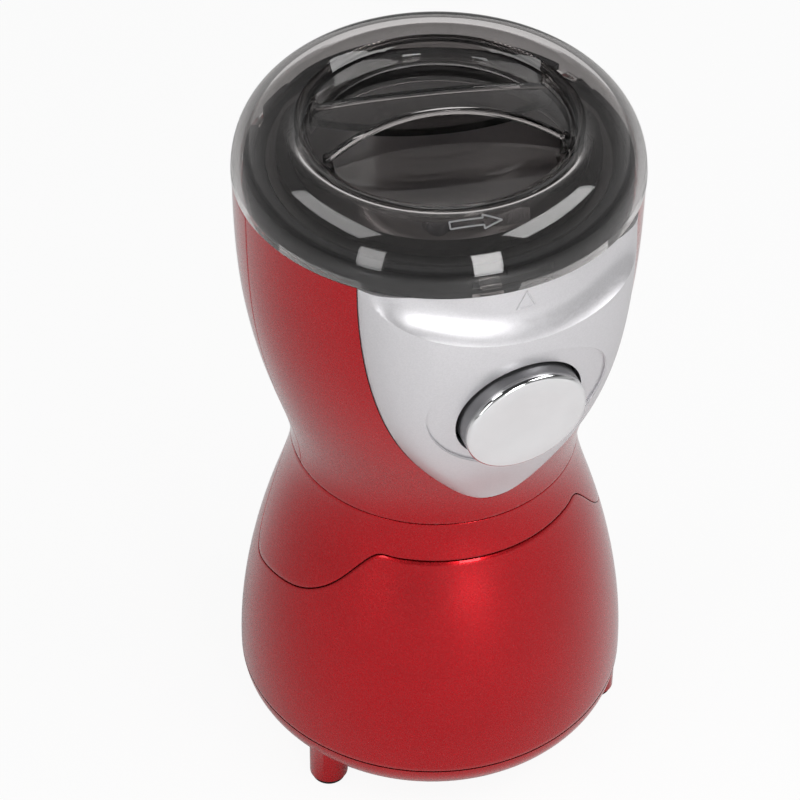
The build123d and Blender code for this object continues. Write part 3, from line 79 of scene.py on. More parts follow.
def colour(label, about, value):
    """A linear colour."""
    return FloatVectorProperty(
        name=label, description=about, default=value, size=3, min=0, max=1, subtype="COLOR"
    )


class GrinderBody(bpy.types.PropertyGroup):
    """Sizes of the waisted housing."""

    wall: length("Wall", "Thickness of the shells", 2.4)
    seam: length("Seam", "Gap between neighbouring shells", 0.3)
    edge: length("Edge", "Rounding of the shells' edges", 0.25)
    panel_edge: length("Panel edge", "Rounding of the front shell's edges, round the panel too", 0.2)
    rim_height: length("Rim height", "Top of the upper shells", 184.7)
    rim_radius: length("Rim radius", "Outer radius at the rim", 51.8)
    shoulder_height: length("Shoulder height", "Height of the shoulder", 149.5)
    shoulder_radius: length("Shoulder radius", "Outer radius at the shoulder", 50.2)
    neck_height: length("Neck height", "Height of the neck", 120.0)
    neck_radius: length("Neck radius", "Outer radius at the neck", 43.6)
    waist_height: length("Waist height", "Height of the narrowest place", 98.2)
    waist_radius: length("Waist radius", "Outer radius at the waist", 38.6)
    hip_height: length("Hip height", "Height of the hip", 72.0)
    hip_radius: length("Hip radius", "Outer radius at the hip", 44.6)
    belly_height: length("Belly height", "Height of the belly", 45.0)
    belly_radius: length("Belly radius", "Outer radius at the belly", 51.3)
    base_height: length("Base seam height", "Height of the seam over the base plate", 17.6)
    base_radius: length("Base seam radius", "Outer radius at the base seam", 53.9)
    waist_seam: length("Waist seam", "Height of the level seam at the waist", 97.2)
    wave_front: length("Wave front", "Height of the wavy seam in front", 85.4)
    wave_rear: length("Wave rear", "Height of the wavy seam behind", 88.0)
    wave_side: length("Wave side", "Height of the wavy seam on the sides", 62.3)
    wave_low: length("Wave low", "Lowest height of the wavy seam", 58.6)
    wave_front_y: length("Wave front end", "Where the wave starts, along Y", -29.0)
    wave_rear_y: length("Wave rear end", "Where the wave ends, along Y", 24.0)
    inlet_height: length("Inlet height", "Height of the cord's hole in the rear", 30.0)
    inlet_hole: length("Inlet hole radius", "Radius of the cord's hole", 4.65)


class GrinderPanel(bpy.types.PropertyGroup):
    """Sizes of the control panel."""

    half_width: length("Half width", "Half the panel's width at the rim", 37.6)
    height: length("Height", "From the rim down to the tip", 79.4)
    seat: length("Seat", "How deep the panel sits in the shell", 1.3)
    gap: length("Gap", "Gap round the panel", 0.25)
    bulge: length("Bulge", "How far the middle stands out", 2.6)
    bulge_height: length("Bulge height", "Where the panel stands out most", 150.0)
    scoop_width: length("Scoop half width", "Half the width of the scoop under the lid", 37.8)
    scoop_depth: length("Scoop depth", "From the rim down to the scoop's lip", 14.8)
    scoop_radius: length("Scoop radius", "Distance of the scoop from the grinder's axis", 51.1)
    scoop_turn: angle("Scoop turn", "How far the scoop leans to the right", 3)
    eye_width: length("Eye half width", "Half the width of the recess round the button", 24.3)
    eye_top: length("Eye top", "Recess above its corners", 20.3)
    eye_bottom: length("Eye bottom", "Recess below its corners", 21.3)
    eye_height: length("Eye height", "Height of the recess's corners", 144.7)
    eye_step: length("Eye step", "Depth of the recess", 0.7)
    eye_line: length("Eye line", "Radius of the groove round the recess", 0.3)
    mark_top: length("Mark top", "Apex of the triangle mark", 183.4)
    mark_height: length("Mark height", "Height of the triangle mark", 5.2)
    mark_width: length("Mark width", "Width of the triangle mark", 5.0)
    mark_line: length("Mark line", "Width of the mark's raised line", 0.5)


class GrinderButton(bpy.types.PropertyGroup):
    """Sizes of the start button."""

    height: length("Height", "Height of the centre of the face", 143.8)
    reach: length("Reach", "Centre of the face from the grinder's axis", 55.0)
    tilt: angle("Tilt", "How far the face looks down", 8.5)
    radius: length("Radius", "Outer radius of the cap", 16.2)
    hole: length("Hole radius", "Radius of the hole in the panel", 17.1)
    depth: length("Depth", "Length of the cap behind its face", 7.5)
    wall: length("Wall", "Thickness of the cap's side", 1.8)
    floor: length("Floor", "Thickness of the cap behind its face", 2.3)
    stem: length("Stem radius", "Radius of the stem that works the switch", 3.0)
    stem_drop: length("Stem drop", "Stem below the cap's centre", 9.0)
    stem_length: length("Stem length", "From the face to the stem's tip", 17.4)
    edge: length("Edge", "Rounding of the face's edge", 1.1)
    dish: length("Dish radius", "Radius of the dished middle", 10.8)
    dish_depth: length("Dish depth", "Depth of the dished middle", 0.45)


class GrinderLid(bpy.types.PropertyGroup):
    """Sizes of the clear lid."""

    bottom: length("Bottom", "Lower edge", 185.0)
    radius: length("Radius", "Outer radius at the lower edge", 52.0)
    wall: length("Wall", "Thickness of the lid", 2.2)
    side_height: length("Side height", "Where the side starts to turn in", 190.9)
    side_radius: length("Side radius", "Radius there", 51.2)
    shoulder_height: length("Shoulder height", "Height of the shoulder", 198.0)
    shoulder_radius: length("Shoulder radius", "Radius of the shoulder", 47.3)
    crest_height: length("Crest height", "Highest ring round the grip", 202.0)
    crest_radius: length("Crest radius", "Radius of that ring", 39.5)
    crest_edge_radius: length("Crest edge radius", "Inner edge of the crest", 36.5)
    crest_edge_height: length("Crest edge height", "Height of that edge", 201.3)
    band_radius: length("Band radius", "Where grip and wells begin", 33.0)
    band_height: length("Band height", "Height there", 198.3)
    grip_height: length("Grip height", "Top of the grip", 205.8)
    grip_half: length("Grip half width", "Half the grip's width in the middle", 4.2)
    grip_end: length("Grip end half width", "Half the grip's width at its ends", 12.4)
    well_floor: length("Well floor", "Height of the floor of the finger wells", 194.5)
    well_radius: length("Well radius", "Radius of that floor", 31.4)
    well_corner: length("Well corner", "How far the wells stop short of the grip's ends", 2.0)
    well_edge: length("Well edge", "Rounding of the edges of the wells and the grip", 0.7)
    turn: angle("Turn", "The lid's own front from the panel, unlocked", -14.5)
    skirt_radius: length("Skirt radius", "Outer radius of the inner skirt", 36.4)
    skirt_wall: length("Skirt wall", "Thickness of the skirt", 2.0)
    skirt_bottom: length("Skirt bottom", "Lower edge of the skirt", 184.0)
    arrow_radius: length("Arrow radius", "Arrow from the axis", 43.4)
    arrow_angle: angle("Arrow angle", "Arrow ahead of the lid's front", 1.5)
    arrow_length: length("Arrow length", "Length of the arrow", 12.6)
    arrow_point: length("Arrow point", "Length of the arrow's head", 4.5)
    arrow_head: length("Arrow head", "Width of the arrow's head", 3.2)
    arrow_shaft: length("Arrow shaft", "Width of the arrow's shaft", 1.6)
    arrow_line: length("Arrow line", "Width of the arrow's raised line", 0.45)
    lug_angle: angle("Lug angle", "First lug from the lid's front", 4.5)
    lug_radius: length("Lug radius", "Middle of a lug from the axis", 48.4)
    lug_middle: length("Lug middle", "Height of a lug's middle", 186.5)
    lug_length: length("Lug length", "Length of a lug round the lid", 5.0)
    lug_width: length("Lug width", "Width of a lug, outwards", 2.9)
    lug_height: length("Lug height", "Thickness of a lug", 1.5)


class GrinderFinish(bpy.types.PropertyGroup):
    """Colours of the main finishes."""

    red: colour("Red", "Metallic red lacquer", (0.52, 0.006, 0.012))
    deep_red: colour("Deep red", "Red lacquer between its flakes", (0.36, 0.003, 0.007))
    silver: colour("Silver", "Satin silver lacquer", (0.68, 0.67, 0.69))
    smoke: colour("Smoke", "Tint of the clear lid", (0.60, 0.58, 0.575))
    floor: colour("Floor", "Floor and backdrop", (0.9, 0.9, 0.9))


GROUPS = {
    "grinder_body": GrinderBody,
    "grinder_panel": GrinderPanel,
    "grinder_button": GrinderButton,
    "grinder_lid": GrinderLid,
    "grinder_finish": GrinderFinish,
}


def settings(group):
    """The sizes or colours of a part of the grinder."""
    return getattr(bpy.context.scene, "grinder_" + group)


# ----------------------------------------------------------------- shader maths
class Signal:
    """A node's output that Python expressions can work with."""

    def __init__(self, graph, socket):
        self.graph = graph
        self.socket = socket

    def math(self, operation, other, swapped=False):
        """Adds a Math node on this value and another one."""
        first, second = (other, self) if swapped else (self, other)
        return self.graph.node("ShaderNodeMath", {"operation": operation}, {0: first, 1: second})

    def __add__(self, other):
        return self.math("ADD", other)

    def __radd__(self, other):
        return self.math("ADD", other, True)

    def __sub__(self, other):
        return self.math("SUBTRACT", other)

    def __rsub__(self, other):
        return self.math("SUBTRACT", other, True)

    def __mul__(self, other):
        return self.math("MULTIPLY", other)

    def __rmul__(self, other):
        return self.math("MULTIPLY", other, True)

    def __pow__(self, other):
        return self.math("POWER", other)


class Graph:
    """A node tree that grows by one method."""

    def __init__(self, tree):
        self.tree = tree

    def node(self, kind, choices=None, inputs=None, output=0):
        """Adds a node: its settings first, then the values or links of its sockets."""
        made = self.tree.nodes.new(kind)
        for label, value in (choices or {}).items():
            setattr(made, label, value)
        for label, value in (inputs or {}).items():
            if isinstance(value, Signal):
                self.tree.links.new(value.socket, made.inputs[label])
            else:
                made.inputs[label].default_value = value
        return Signal(self, made.outputs[output])


class Finish(Graph):
    """A material built round one Principled shader."""

    def __init__(self, name, **constants):
        self.material = bpy.data.materials.new(name)
        self.material.use_nodes = True
        super().__init__(self.material.node_tree)
        self.shader = self.tree.nodes["Principled BSDF"]
        for label, value in constants.items():
            socket = self.shader.inputs[label.replace("_", " ")]
            socket.default_value = (*value, 1) if isinstance(value, (tuple, list)) else value
        self.place = self.node("ShaderNodeTexCoord", output="Object")

    def feed(self, label, signal):
        """Links a signal to a socket of the shader."""
        self.tree.links.new(signal.socket, self.shader.inputs[label])

    def noise(self, size, detail=2.0):
        """Noise around 0.5 whose lumps are about size metres across."""
        return self.node("ShaderNodeTexNoise", {}, {
            "Vector": self.place, "Scale": 1 / size, "Detail": detail, "Roughness": 0.5})

    def flakes(self, size):
        """A value from 0 to 1 for each flake of about size metres."""
        colours = self.node("ShaderNodeTexVoronoi", {}, {"Vector": self.place, "Scale": 1 / size}, "Color")
        return self.node("ShaderNodeSeparateColor", {}, {0: colours})

    def blend(self, factor, first, second):
        """Mix of two colours."""
        inputs = {0: factor, 6: (*first, 1), 7: (*second, 1)}
        return self.node("ShaderNodeMix", {"data_type": "RGBA"}, inputs, output=2)

    def grain(self, height, depth):
        """Bump of a height signal, depth in metres."""
        bump = self.node("ShaderNodeBump", {}, {"Height": height, "Distance": depth, "Strength": 1.0})
        self.feed("Normal", bump)


def dimmed(tone, share):
    """A colour at a share of its brightness."""
    return tuple(share * part for part in tone)


def red_lacquer():
    """Candy red over fine metal flakes under a clear coat."""
    tint = settings("finish")
    paint = Finish("red_lacquer", Metallic=0.9, Coat_Weight=1.0, Coat_Roughness=0.03, Coat_IOR=1.25)
    sparkle = paint.flakes(0.35 * MM)
    cloud = paint.noise(14 * MM, 1.0)
    paint.feed("Base Color", paint.blend(0.25 + 0.25 * sparkle + 0.3 * cloud, tint.deep_red, tint.red))
    paint.feed("Roughness", 0.22 + 0.05 * sparkle + 0.04 * cloud)
    paint.grain(paint.noise(3.5 * MM, 1.0), 0.01 * MM)
    return paint.material


def silver_lacquer():
    """Satin silver with a fine metal flake."""
    tint = settings("finish")
    paint = Finish("silver_lacquer", Metallic=0.75, Coat_Weight=0.35, Coat_Roughness=0.12)
    sparkle = paint.flakes(0.3 * MM)
    paint.feed("Base Color", paint.blend(sparkle, dimmed(tint.silver, 0.93), tint.silver))
    paint.feed("Roughness", 0.30 + 0.08 * sparkle + 0.05 * paint.noise(9 * MM))
    paint.grain(paint.noise(2.2 * MM, 1.0), 0.003 * MM)
    return paint.material


def button_chrome():
    """Bright plating with faint wipe marks; the cap's side is rougher, and its colour is darkened there as
    painted shade.
    """
    size = settings("button")
    plating = Finish("button_chrome", Metallic=1.0)
    smear = plating.noise(7 * MM, 4.0)
    back = (0, math.cos(size.tilt), math.sin(size.tilt))
    start = Vector(back).dot((0, -size.reach, size.height))
    depth = plating.node(
        "ShaderNodeVectorMath", {"operation": "DOT_PRODUCT"}, {0: plating.place, 1: back}, "Value")
    side = plating.node("ShaderNodeMapRange", {}, {
        "Value": depth, "From Min": start + 0.9 * size.edge, "From Max": start + 1.8 * size.edge})
    bright, shaded_side_tone = (0.86, 0.86, 0.87), (0.3, 0.3, 0.31)
    # painted shade: the cap's side gets a darker colour, besides its rougher surface
    plating.feed("Base Color", plating.blend(0.9 + 0.15 * smear - side, shaded_side_tone, bright))
    plating.feed("Roughness", 0.05 + 0.12 * smear * smear + 0.3 * side)
    return plating.material


def clear_smoke():
    """Clear styrene with a smoke tint and a few soft moulding waves."""
    tint = settings("finish")
    clear = Finish("clear_smoke", Roughness=0.02, IOR=1.5, Transmission_Weight=1.0)
    clear.feed("Base Color", clear.blend(clear.noise(25 * MM), dimmed(tint.smoke, 0.95), tint.smoke))
    clear.grain(clear.noise(18 * MM, 0.0), 0.02 * MM)
    return clear.material


def frosted_line():
    """Raised line on the lid, a little matt."""
    frost = Finish("frosted_line", Roughness=0.4, IOR=1.5, Transmission_Weight=0.35)
    frost.feed("Base Color", frost.blend(frost.noise(1 * MM), (0.30, 0.30, 0.31), (0.42, 0.42, 0.43)))
    return frost.material


def black_moulding():
    """Black plastic with a fine spark-eroded grain."""
    moulding = Finish("black_moulding", IOR=1.25)
    grain = moulding.noise(0.5 * MM, 3.0)
    moulding.feed("Base Color", moulding.blend(grain, (0.004, 0.004, 0.005), (0.01, 0.01, 0.012)))
    moulding.feed("Roughness", 0.62 + 0.2 * grain)
    moulding.grain(grain, 0.01 * MM)
    return moulding.material


def rubber():
    """Matt black rubber."""
    soft = Finish("black_rubber_skin", IOR=1.3)
    grain = soft.noise(0.8 * MM, 4.0)
    soft.feed("Base Color", soft.blend(grain, (0.006, 0.006, 0.006), (0.016, 0.016, 0.016)))
    soft.feed("Roughness", 0.65 + 0.25 * grain)
    soft.grain(grain, 0.03 * MM)
    return soft.material


def turned_steel(name, tone, roughness, line=0.25, painted_shade_above=1.0):
    """Steel with fine rings round the spindle's axis, line millimetres apart, and painted shade that
    darkens it above a height.
    """
    steel = Finish(name, Metallic=1.0)
    x, y, z = (steel.node("ShaderNodeSeparateXYZ", {}, {0: steel.place}, axis) for axis in "XYZ")
    radius = (x * x + y * y) ** 0.5
    rings = steel.node("ShaderNodeTexNoise", {"noise_dimensions": "2D"}, {
        "Vector": steel.node("ShaderNodeCombineXYZ", {}, {0: radius, 1: z}),
        "Scale": 1 / (line * MM), "Detail": 3.0})
    # painted shade: the colour goes nearly black above the given height, the bowl's flange under the lid's
    # seal
    shade = steel.node("ShaderNodeMapRange", {}, {"Value": z, "From Min": painted_shade_above - 1 * MM, "From Max": painted_shade_above})
    steel.feed("Base Color", steel.blend(0.8 + 0.2 * rings - 0.9 * shade, dimmed(tone, 0.1), tone))
    steel.feed("Roughness", roughness + 0.18 * rings)
    steel.grain(rings, 0.006 * MM)
    return steel.material


def speckled(name, tone, roughness, metallic=0.0, grain=1.5):
    """Plain material with a slight mottle."""
    stuff = Finish(name, Metallic=metallic)
    mottle = stuff.noise(grain * MM, 3.0)
    stuff.feed("Base Color", stuff.blend(mottle, dimmed(tone, 0.75), tone))
    stuff.feed("Roughness", roughness + 0.15 * mottle)
    stuff.grain(mottle, 0.02 * MM)
    return stuff.material


def wound_copper():
    """Enamelled wire, a turn every third of a millimetre."""
    wire = Finish("wound_copper", Metallic=0.9, Coat_Weight=0.6, Coat_Roughness=0.15)
    height = wire.node("ShaderNodeSeparateXYZ", {}, {0: wire.place}, "Z")
    phase = height * (math.tau / (0.35 * MM))
    turns = wire.node("ShaderNodeMath", {"operation": "SINE"}, {0: phase}) * 0.5 + 0.5
    wire.feed("Base Color", wire.blend(turns, (0.25, 0.08, 0.03), (0.6, 0.23, 0.09)))
    wire.feed("Roughness", 0.3 + 0.2 * turns)
    wire.grain(turns, 0.06 * MM)
    return wire.material


# how the material of each slot is made
FINISHES = {
    "red_body": red_lacquer,
    "silver_panel": silver_lacquer,
    "button_chrome": button_chrome,
    "clear_lid": clear_smoke,
    "raised_line": frosted_line,
    "black_plastic": black_moulding,
    "black_rubber": rubber,
    # the bowl's steel gets painted shade above 184.5 mm, on its flange under the lid's seal
    "bowl_steel": lambda: turned_steel("bowl_brushed_steel", (0.55, 0.54, 0.54), 0.25, 0.25, 184.5 * MM),
    "blade_steel": lambda: turned_steel("blade_ground_steel", (0.6, 0.6, 0.61), 0.16, 0.12),
    "screw_steel": lambda: turned_steel("zinc_steel", (0.5, 0.5, 0.52), 0.28),
    "core_steel": lambda: speckled("varnished_sheet_stack", (0.16, 0.16, 0.18), 0.4, 0.8, 0.7),
    "copper_wire": wound_copper,
    "bearing_bronze": lambda: speckled("sintered_bronze", (0.5, 0.33, 0.14), 0.42, 0.9, 0.4),
    "carbon": lambda: speckled("brush_carbon", (0.04, 0.04, 0.042), 0.55, 0.0, 0.4),
    "white_plastic": lambda: speckled("white_nylon", (0.72, 0.71, 0.67), 0.45, 0.0, 0.6),
    "board_green": lambda: speckled("board_green_resist", (0.03, 0.16, 0.06), 0.3, 0.0, 2.0),
    "film_yellow": lambda: speckled("capacitor_film", (0.6, 0.42, 0.05), 0.25, 0.0, 2.0),
}


# the materials made so far, by slot
MADE = {}


def finish_of(slot):
    """The material of a slot, made once."""
    if slot not in MADE:
        MADE[slot] = FINISHES[slot]()
    return MADE[slot]


# ------------------------------------------------------------------ mesh helpers
HOLE_SIDES = 160
DRILL_LENGTH = 20 * MM

# cutting blocks reach along Y from inside the housing to clear in front of it
CUT_REAR, CUT_FRONT, CUT_CLEAR = -20 * MM, -70 * MM, -72 * MM


def add_piece(bm, name, body, slot, replaced=(), crease=math.radians(35)):
    """Turns a bmesh into a finished piece that rides on a body."""
    for edge in bm.edges:
        edge.smooth = len(edge.link_faces) == 2 and edge.calc_face_angle(0) < crease
    for face in bm.faces:
        face.smooth = True
    mesh = bpy.data.meshes.new(name)
    bm.to_mesh(mesh)
    bm.free()
    piece = bpy.data.objects.new(name, mesh)
    bpy.context.scene.collection.objects.link(piece)
    mesh.materials.append(finish_of(slot))
    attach(piece, body)
    if replaced:
        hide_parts(*replaced)
    return piece


def merged_copy(node, name, body, slot):
    """Smooth-shaded copy of a packed node that stands for it."""
    bm = bmesh.new()
    bm.from_mesh(NODES[node].data)
    bmesh.ops.remove_doubles(bm, verts=bm.verts, dist=0.004 * MM)
    bmesh.ops.dissolve_degenerate(bm, edges=bm.edges, dist=0.003 * MM)
    return add_piece(bm, name, body, slot, [node], math.radians(28))


def closed_outwards(bm, distance=0.001 * MM):
    """Merges doubles and turns all faces outwards."""
    bmesh.ops.remove_doubles(bm, verts=bm.verts, dist=distance)
    bmesh.ops.recalc_face_normals(bm, faces=bm.faces)
    return bm


def only(kind, made):
    """The vertices, edges or faces among what an operator made."""
    return [item for item in made["geom"] if isinstance(item, kind)]


def profile(points):
    """A chain of edges through (radius, height) points in the XZ plane."""
    bm = bmesh.new()
    verts = [bm.verts.new((radius, 0, height)) for radius, height in points]
    for pair in zip(verts, verts[1:]):
        bm.edges.new(pair)
    return bm


def spin(bm, steps, angle=math.tau):
    """Turns a profile about the grinder's axis into a surface."""
    bmesh.ops.spin(bm, geom=bm.verts[:] + bm.edges[:], cent=(0, 0, 0), axis=(0, 0, 1), angle=angle,
                   steps=steps, use_merge=angle == math.tau)
    return bm


def boolean(bm, other, operation="DIFFERENCE"):
    """The bmesh without the other one, joined with it, or only where both are. It uses both up."""
    pair = []
    for part in (bm, other):
        mesh = bpy.data.meshes.new("boolean")
        part.to_mesh(mesh)
        part.free()
        piece = bpy.data.objects.new("boolean", mesh)
        bpy.context.scene.collection.objects.link(piece)
        pair.append(piece)
    modifier = pair[0].modifiers.new("cut", "BOOLEAN")
    modifier.object, modifier.operation, modifier.solver = pair[1], operation, "EXACT"
    evaluated = pair[0].evaluated_get(bpy.context.evaluated_depsgraph_get())
    result = bmesh.new()
    result.from_mesh(evaluated.to_mesh())
    evaluated.to_mesh_clear()
    for piece in pair:
        mesh = piece.data
        bpy.data.objects.remove(piece)
        bpy.data.meshes.remove(mesh)
    bmesh.ops.remove_doubles(result, verts=result.verts, dist=0.002 * MM)
    bmesh.ops.dissolve_degenerate(result, edges=result.edges, dist=0.002 * MM)
    return result


def rod(radius, length, axes, sides):
    """Round rod along the Z axis of a frame, its middle at the frame's origin."""
    bm = bmesh.new()
    bmesh.ops.create_cone(bm, cap_ends=True, segments=sides, radius1=radius, radius2=radius, depth=length,
                          matrix=axes)
    return bm


def thicken(bm, wall):
    """Gives a skin a wall on its inside."""
    bmesh.ops.recalc_face_normals(bm, faces=bm.faces)
    bmesh.ops.solidify(bm, geom=bm.faces, thickness=wall)
    return bm


def back_up(bm, wall):
    """Gives an open skin a wall by a copy set back along the smoothed normals."""
    bm.normal_update()
    rim = [edge for edge in bm.edges if edge.is_boundary]
    made = bmesh.ops.duplicate(bm, geom=bm.verts[:] + bm.edges[:] + bm.faces[:])
    inner = only(bmesh.types.BMVert, made)
    shifts = [vert.normal * wall for vert in inner]
    for vert, shift in zip(inner, shifts):
        vert.co -= shift
    bmesh.ops.reverse_faces(bm, faces=only(bmesh.types.BMFace, made))
    inner_rim = [edge for edge in only(bmesh.types.BMEdge, made) if edge.is_boundary]
    bmesh.ops.bridge_loops(bm, edges=rim + inner_rim)
    return bm


def soften(bm, width, segments=2, above=math.radians(50)):
    """Rounds the edges that are sharper than an angle."""
    sharp = [edge for edge in bm.edges if len(edge.link_faces) == 2 and edge.calc_face_angle(0) > above]
    bmesh.ops.bevel(bm, geom=sharp, offset=width, segments=segments, profile=0.5, affect="EDGES",
                    material=-1, clamp_overlap=True)
    return bm


def sheet(bm, columns, rows, spot):
    """Adds a grid of faces whose corners a function places by column and row."""
    made = bmesh.ops.create_grid(bm, x_segments=columns, y_segments=rows, size=1.0)
    for vert in made["verts"]:
        column = round((vert.co.x + 1) / 2 * columns)
        row = round((vert.co.y + 1) / 2 * rows)
        vert.co = spot(column, row)


def ridge(bm, path, radius, sides=10, closed=False):
    """Adds a thin round line along a path of points, or round it."""
    rings = []
    last = len(path) - 1
    for index, point in enumerate(path):
        ahead = path[(index + 1) % len(path) if closed else min(index + 1, last)]
        behind = path[index - 1 if closed else max(index - 1, 0)]
        turn = (ahead - behind).to_track_quat("Z", "Y").to_matrix().to_4x4()
        made = bmesh.ops.create_circle(bm, cap_ends=False, segments=sides, radius=radius,
                                       matrix=Matrix.Translation(point) @ turn)
        fresh = set(made["verts"])
        rings.append([edge for edge in bm.edges if fresh.issuperset(edge.verts)])
    for first, second in zip(rings, rings[1:]):
        bmesh.ops.bridge_loops(bm, edges=first + second)
    if closed:
        bmesh.ops.bridge_loops(bm, edges=rings[-1] + rings[0])
    else:
        for ring in (rings[0], rings[-1]):
            bmesh.ops.contextual_create(bm, geom=ring)
    bmesh.ops.recalc_face_normals(bm, faces=bm.faces)
    return bm


def polygon_ridge(corners, steps, width, spot):
    """Raised line round a flat polygon that a function takes to a surface."""
    bm = bmesh.new()
    for first, second in zip(corners, corners[1:] + corners[:1]):
        path = []
        for step in range(steps + 1):
            across, along = Vector(first).lerp(Vector(second), step / steps)
            path.append(spot(across, along))
        ridge(bm, path, width / 2)
    return bm


class Curve:
    """Smooth curve through (place, value) points, with straight ends or set slopes there."""

    def __init__(self, points, first=None, last=None):
        points = sorted(points)
        self.x = numpy.array([place for place, value in points])
        self.y = numpy.array([value for place, value in points])
        count = len(points)
        step = numpy.diff(self.x)
        rise = numpy.diff(self.y) / step
        left, right = numpy.zeros((count, count)), numpy.zeros(count)
        for index in range(1, count - 1):
            left[index, index - 1] = step[index]
            left[index, index] = 2 * (step[index - 1] + step[index])
            left[index, index + 1] = step[index - 1]
            right[index] = 3 * (step[index] * rise[index - 1] + step[index - 1] * rise[index])
        for row, slope, near in ((0, first, 0), (count - 1, last, -1)):
            if slope is None:
                left[row, row], left[row, row + (1 if row == 0 else -1)] = 2, 1
                right[row] = 3 * rise[near]
            else:
                left[row, row], right[row] = 1, slope
        self.slope = numpy.linalg.solve(left, right)

    def __call__(self, place):
        place = min(max(place, self.x[0]), self.x[-1])
        index = min(int(numpy.searchsorted(self.x, place, "right")) - 1, len(self.x) - 2)
        step = self.x[index + 1] - self.x[index]
        t = (place - self.x[index]) / step
        return float(
            (2 * t ** 3 - 3 * t ** 2 + 1) * self.y[index]
            + (t ** 3 - 2 * t ** 2 + t) * step * self.slope[index]
            + (3 * t ** 2 - 2 * t ** 3) * self.y[index + 1]
            + (t ** 3 - t ** 2) * step * self.slope[index + 1]
        )


def even_points(keys, steps, first, last):
    """Evenly spaced points on the smooth curve through a few, with set directions at its ends."""
    keys = [Vector(key) for key in keys]
    along = [0.0]
    for start, end in zip(keys, keys[1:]):
        along.append(along[-1] + (end - start).length)
    across = Curve([(place, key.x) for place, key in zip(along, keys)], first[0], last[0])
    height = Curve([(place, key.y) for place, key in zip(along, keys)], first[1], last[1])
    places = [along[-1] * step / steps for step in range(steps + 1)]
    return [(across(place), height(place)) for place in places]


def last_where(holds, low, high):
    """The last place between two at which a condition still holds, which it does at the first one."""
    while high - low > 0.0001 * MM:
        middle = (low + high) / 2
        if holds(middle):
            low = middle
        else:
            high = middle
    return low


# ----------------------------------------------------------------------- housing
def body_curve():
    """Outer radius of the housing over the height."""
    size = settings("body")
    names = ("rim", "shoulder", "neck", "waist", "hip", "belly", "base")
    points = [(getattr(size, name + "_height"), getattr(size, name + "_radius")) for name in names]
    return Curve(points, 0.0, 0.0)


def wave_curve():
    """Height of the wavy seam over Y: level, steep down, long dip, steep up, level."""
    size = settings("body")
    front, rear = size.wave_front_y, size.wave_rear_y
    steps = (
        (front - 5 * MM, size.wave_front),
        (front - 2 * MM, size.wave_front),
        (front + 1 * MM, size.wave_front - 0.7 * MM),
        (front + 3 * MM, size.wave_front - 4.4 * MM),
        (front + 5.2 * MM, size.wave_side + 13.7 * MM),
        (front + 10.5 * MM, size.wave_side + 6.4 * MM),
        (front + 23.2 * MM, size.wave_side),
        (rear - 17.3 * MM, size.wave_low),
        (rear - 10.5 * MM, size.wave_low + 1.3 * MM),
        (rear - 8 * MM, size.wave_low + 6 * MM),
        (rear - 6 * MM, size.wave_low + 13.4 * MM),
        (rear - 4 * MM, size.wave_rear - 8 * MM),
        (rear - 1.8 * MM, size.wave_rear - 2.2 * MM),
        (rear + 1.5 * MM, size.wave_rear),
        (rear + 6 * MM, size.wave_rear),
    )
    return Curve(steps, 0.0, 0.0)


def shell_between(low_at, high_at, rows, start=0.0, end=math.tau, columns=480):
    """Skin of the housing between two heights that may change round the body."""
    radius_at = body_curve()
    bm = profile([(1.0, row / rows) for row in range(rows + 1)])
    front = Matrix.Rotation(start - math.pi / 2, 3, "Z")
    bmesh.ops.rotate(bm, verts=bm.verts, cent=(0, 0, 0), matrix=front)
    spin(bm, columns, end - start)
    bmesh.ops.remove_doubles(bm, verts=bm.verts, dist=0.0001 * MM)
    limits = {}
    for vert in bm.verts:
        turn = math.atan2(vert.co.x, -vert.co.y)
        column = round(turn, 6)
        if column not in limits:
            limits[column] = (low_at(turn), high_at(turn))
        low, high = limits[column]
        height = low + (high - low) * vert.co.z
        radius = radius_at(height)
        vert.co = (radius * math.sin(turn), -radius * math.cos(turn), height)
    return bm


def build_lower_body():
    """The belly with the cord's hole, and the collar over it, which meet at the wavy seam."""
    size = settings("body")
    radius_at, wave = body_curve(), wave_curve()

    def seam(turn):
        """Height at which the wavy seam crosses the housing at an angle from the front."""
        return last_where(lambda height: wave(-radius_at(height) * math.cos(turn)) > height,
                          size.belly_height, size.waist_height)

    half = size.seam / 2
    lower = shell_between(lambda turn: size.base_height, lambda turn: seam(turn) - half, rows=44)
    soften(thicken(lower, size.wall), size.edge)
    rear = Matrix.Translation((0, size.belly_radius, size.inlet_height))
    axes = rear @ Matrix.Rotation(math.pi / 2, 4, "X")
    lower = boolean(lower, rod(size.inlet_hole, DRILL_LENGTH, axes, HOLE_SIDES))
    add_piece(lower, "lower_housing", HOUSING, "red_body", ["lower_shell"])
    collar = shell_between(lambda turn: seam(turn) + half, lambda turn: size.waist_seam - half, rows=22)
    soften(thicken(collar, size.wall), size.edge)
    add_piece(collar, "waist_collar", HOUSING, "red_body", ["middle_collar"])


def build_upper_body():
    """The rear housing, and the front one with the opening that the panel fills."""
    size = settings("body")
    low = size.waist_seam + size.seam / 2
    gap = size.seam / 2 / size.rim_radius
    right_angle = math.pi / 2
    rear = shell_between(lambda turn: low, lambda turn: size.rim_height, rows=60,
                         start=right_angle + gap, end=3 * right_angle - gap, columns=180)
    soften(thicken(rear, size.wall), size.edge)
    add_piece(rear, "rear_housing", HOUSING, "red_body", ["upper_rear_shell"])
    front = shell_between(lambda turn: low, lambda turn: size.rim_height, rows=90,
                          start=-right_angle + gap, end=right_angle - gap, columns=240)
    front = boolean(thicken(front, size.wall), panel_block(0.0))
    soften(front, size.panel_edge)
    add_piece(front, "front_housing", HOUSING, "red_body", ["upper_front_shell"])


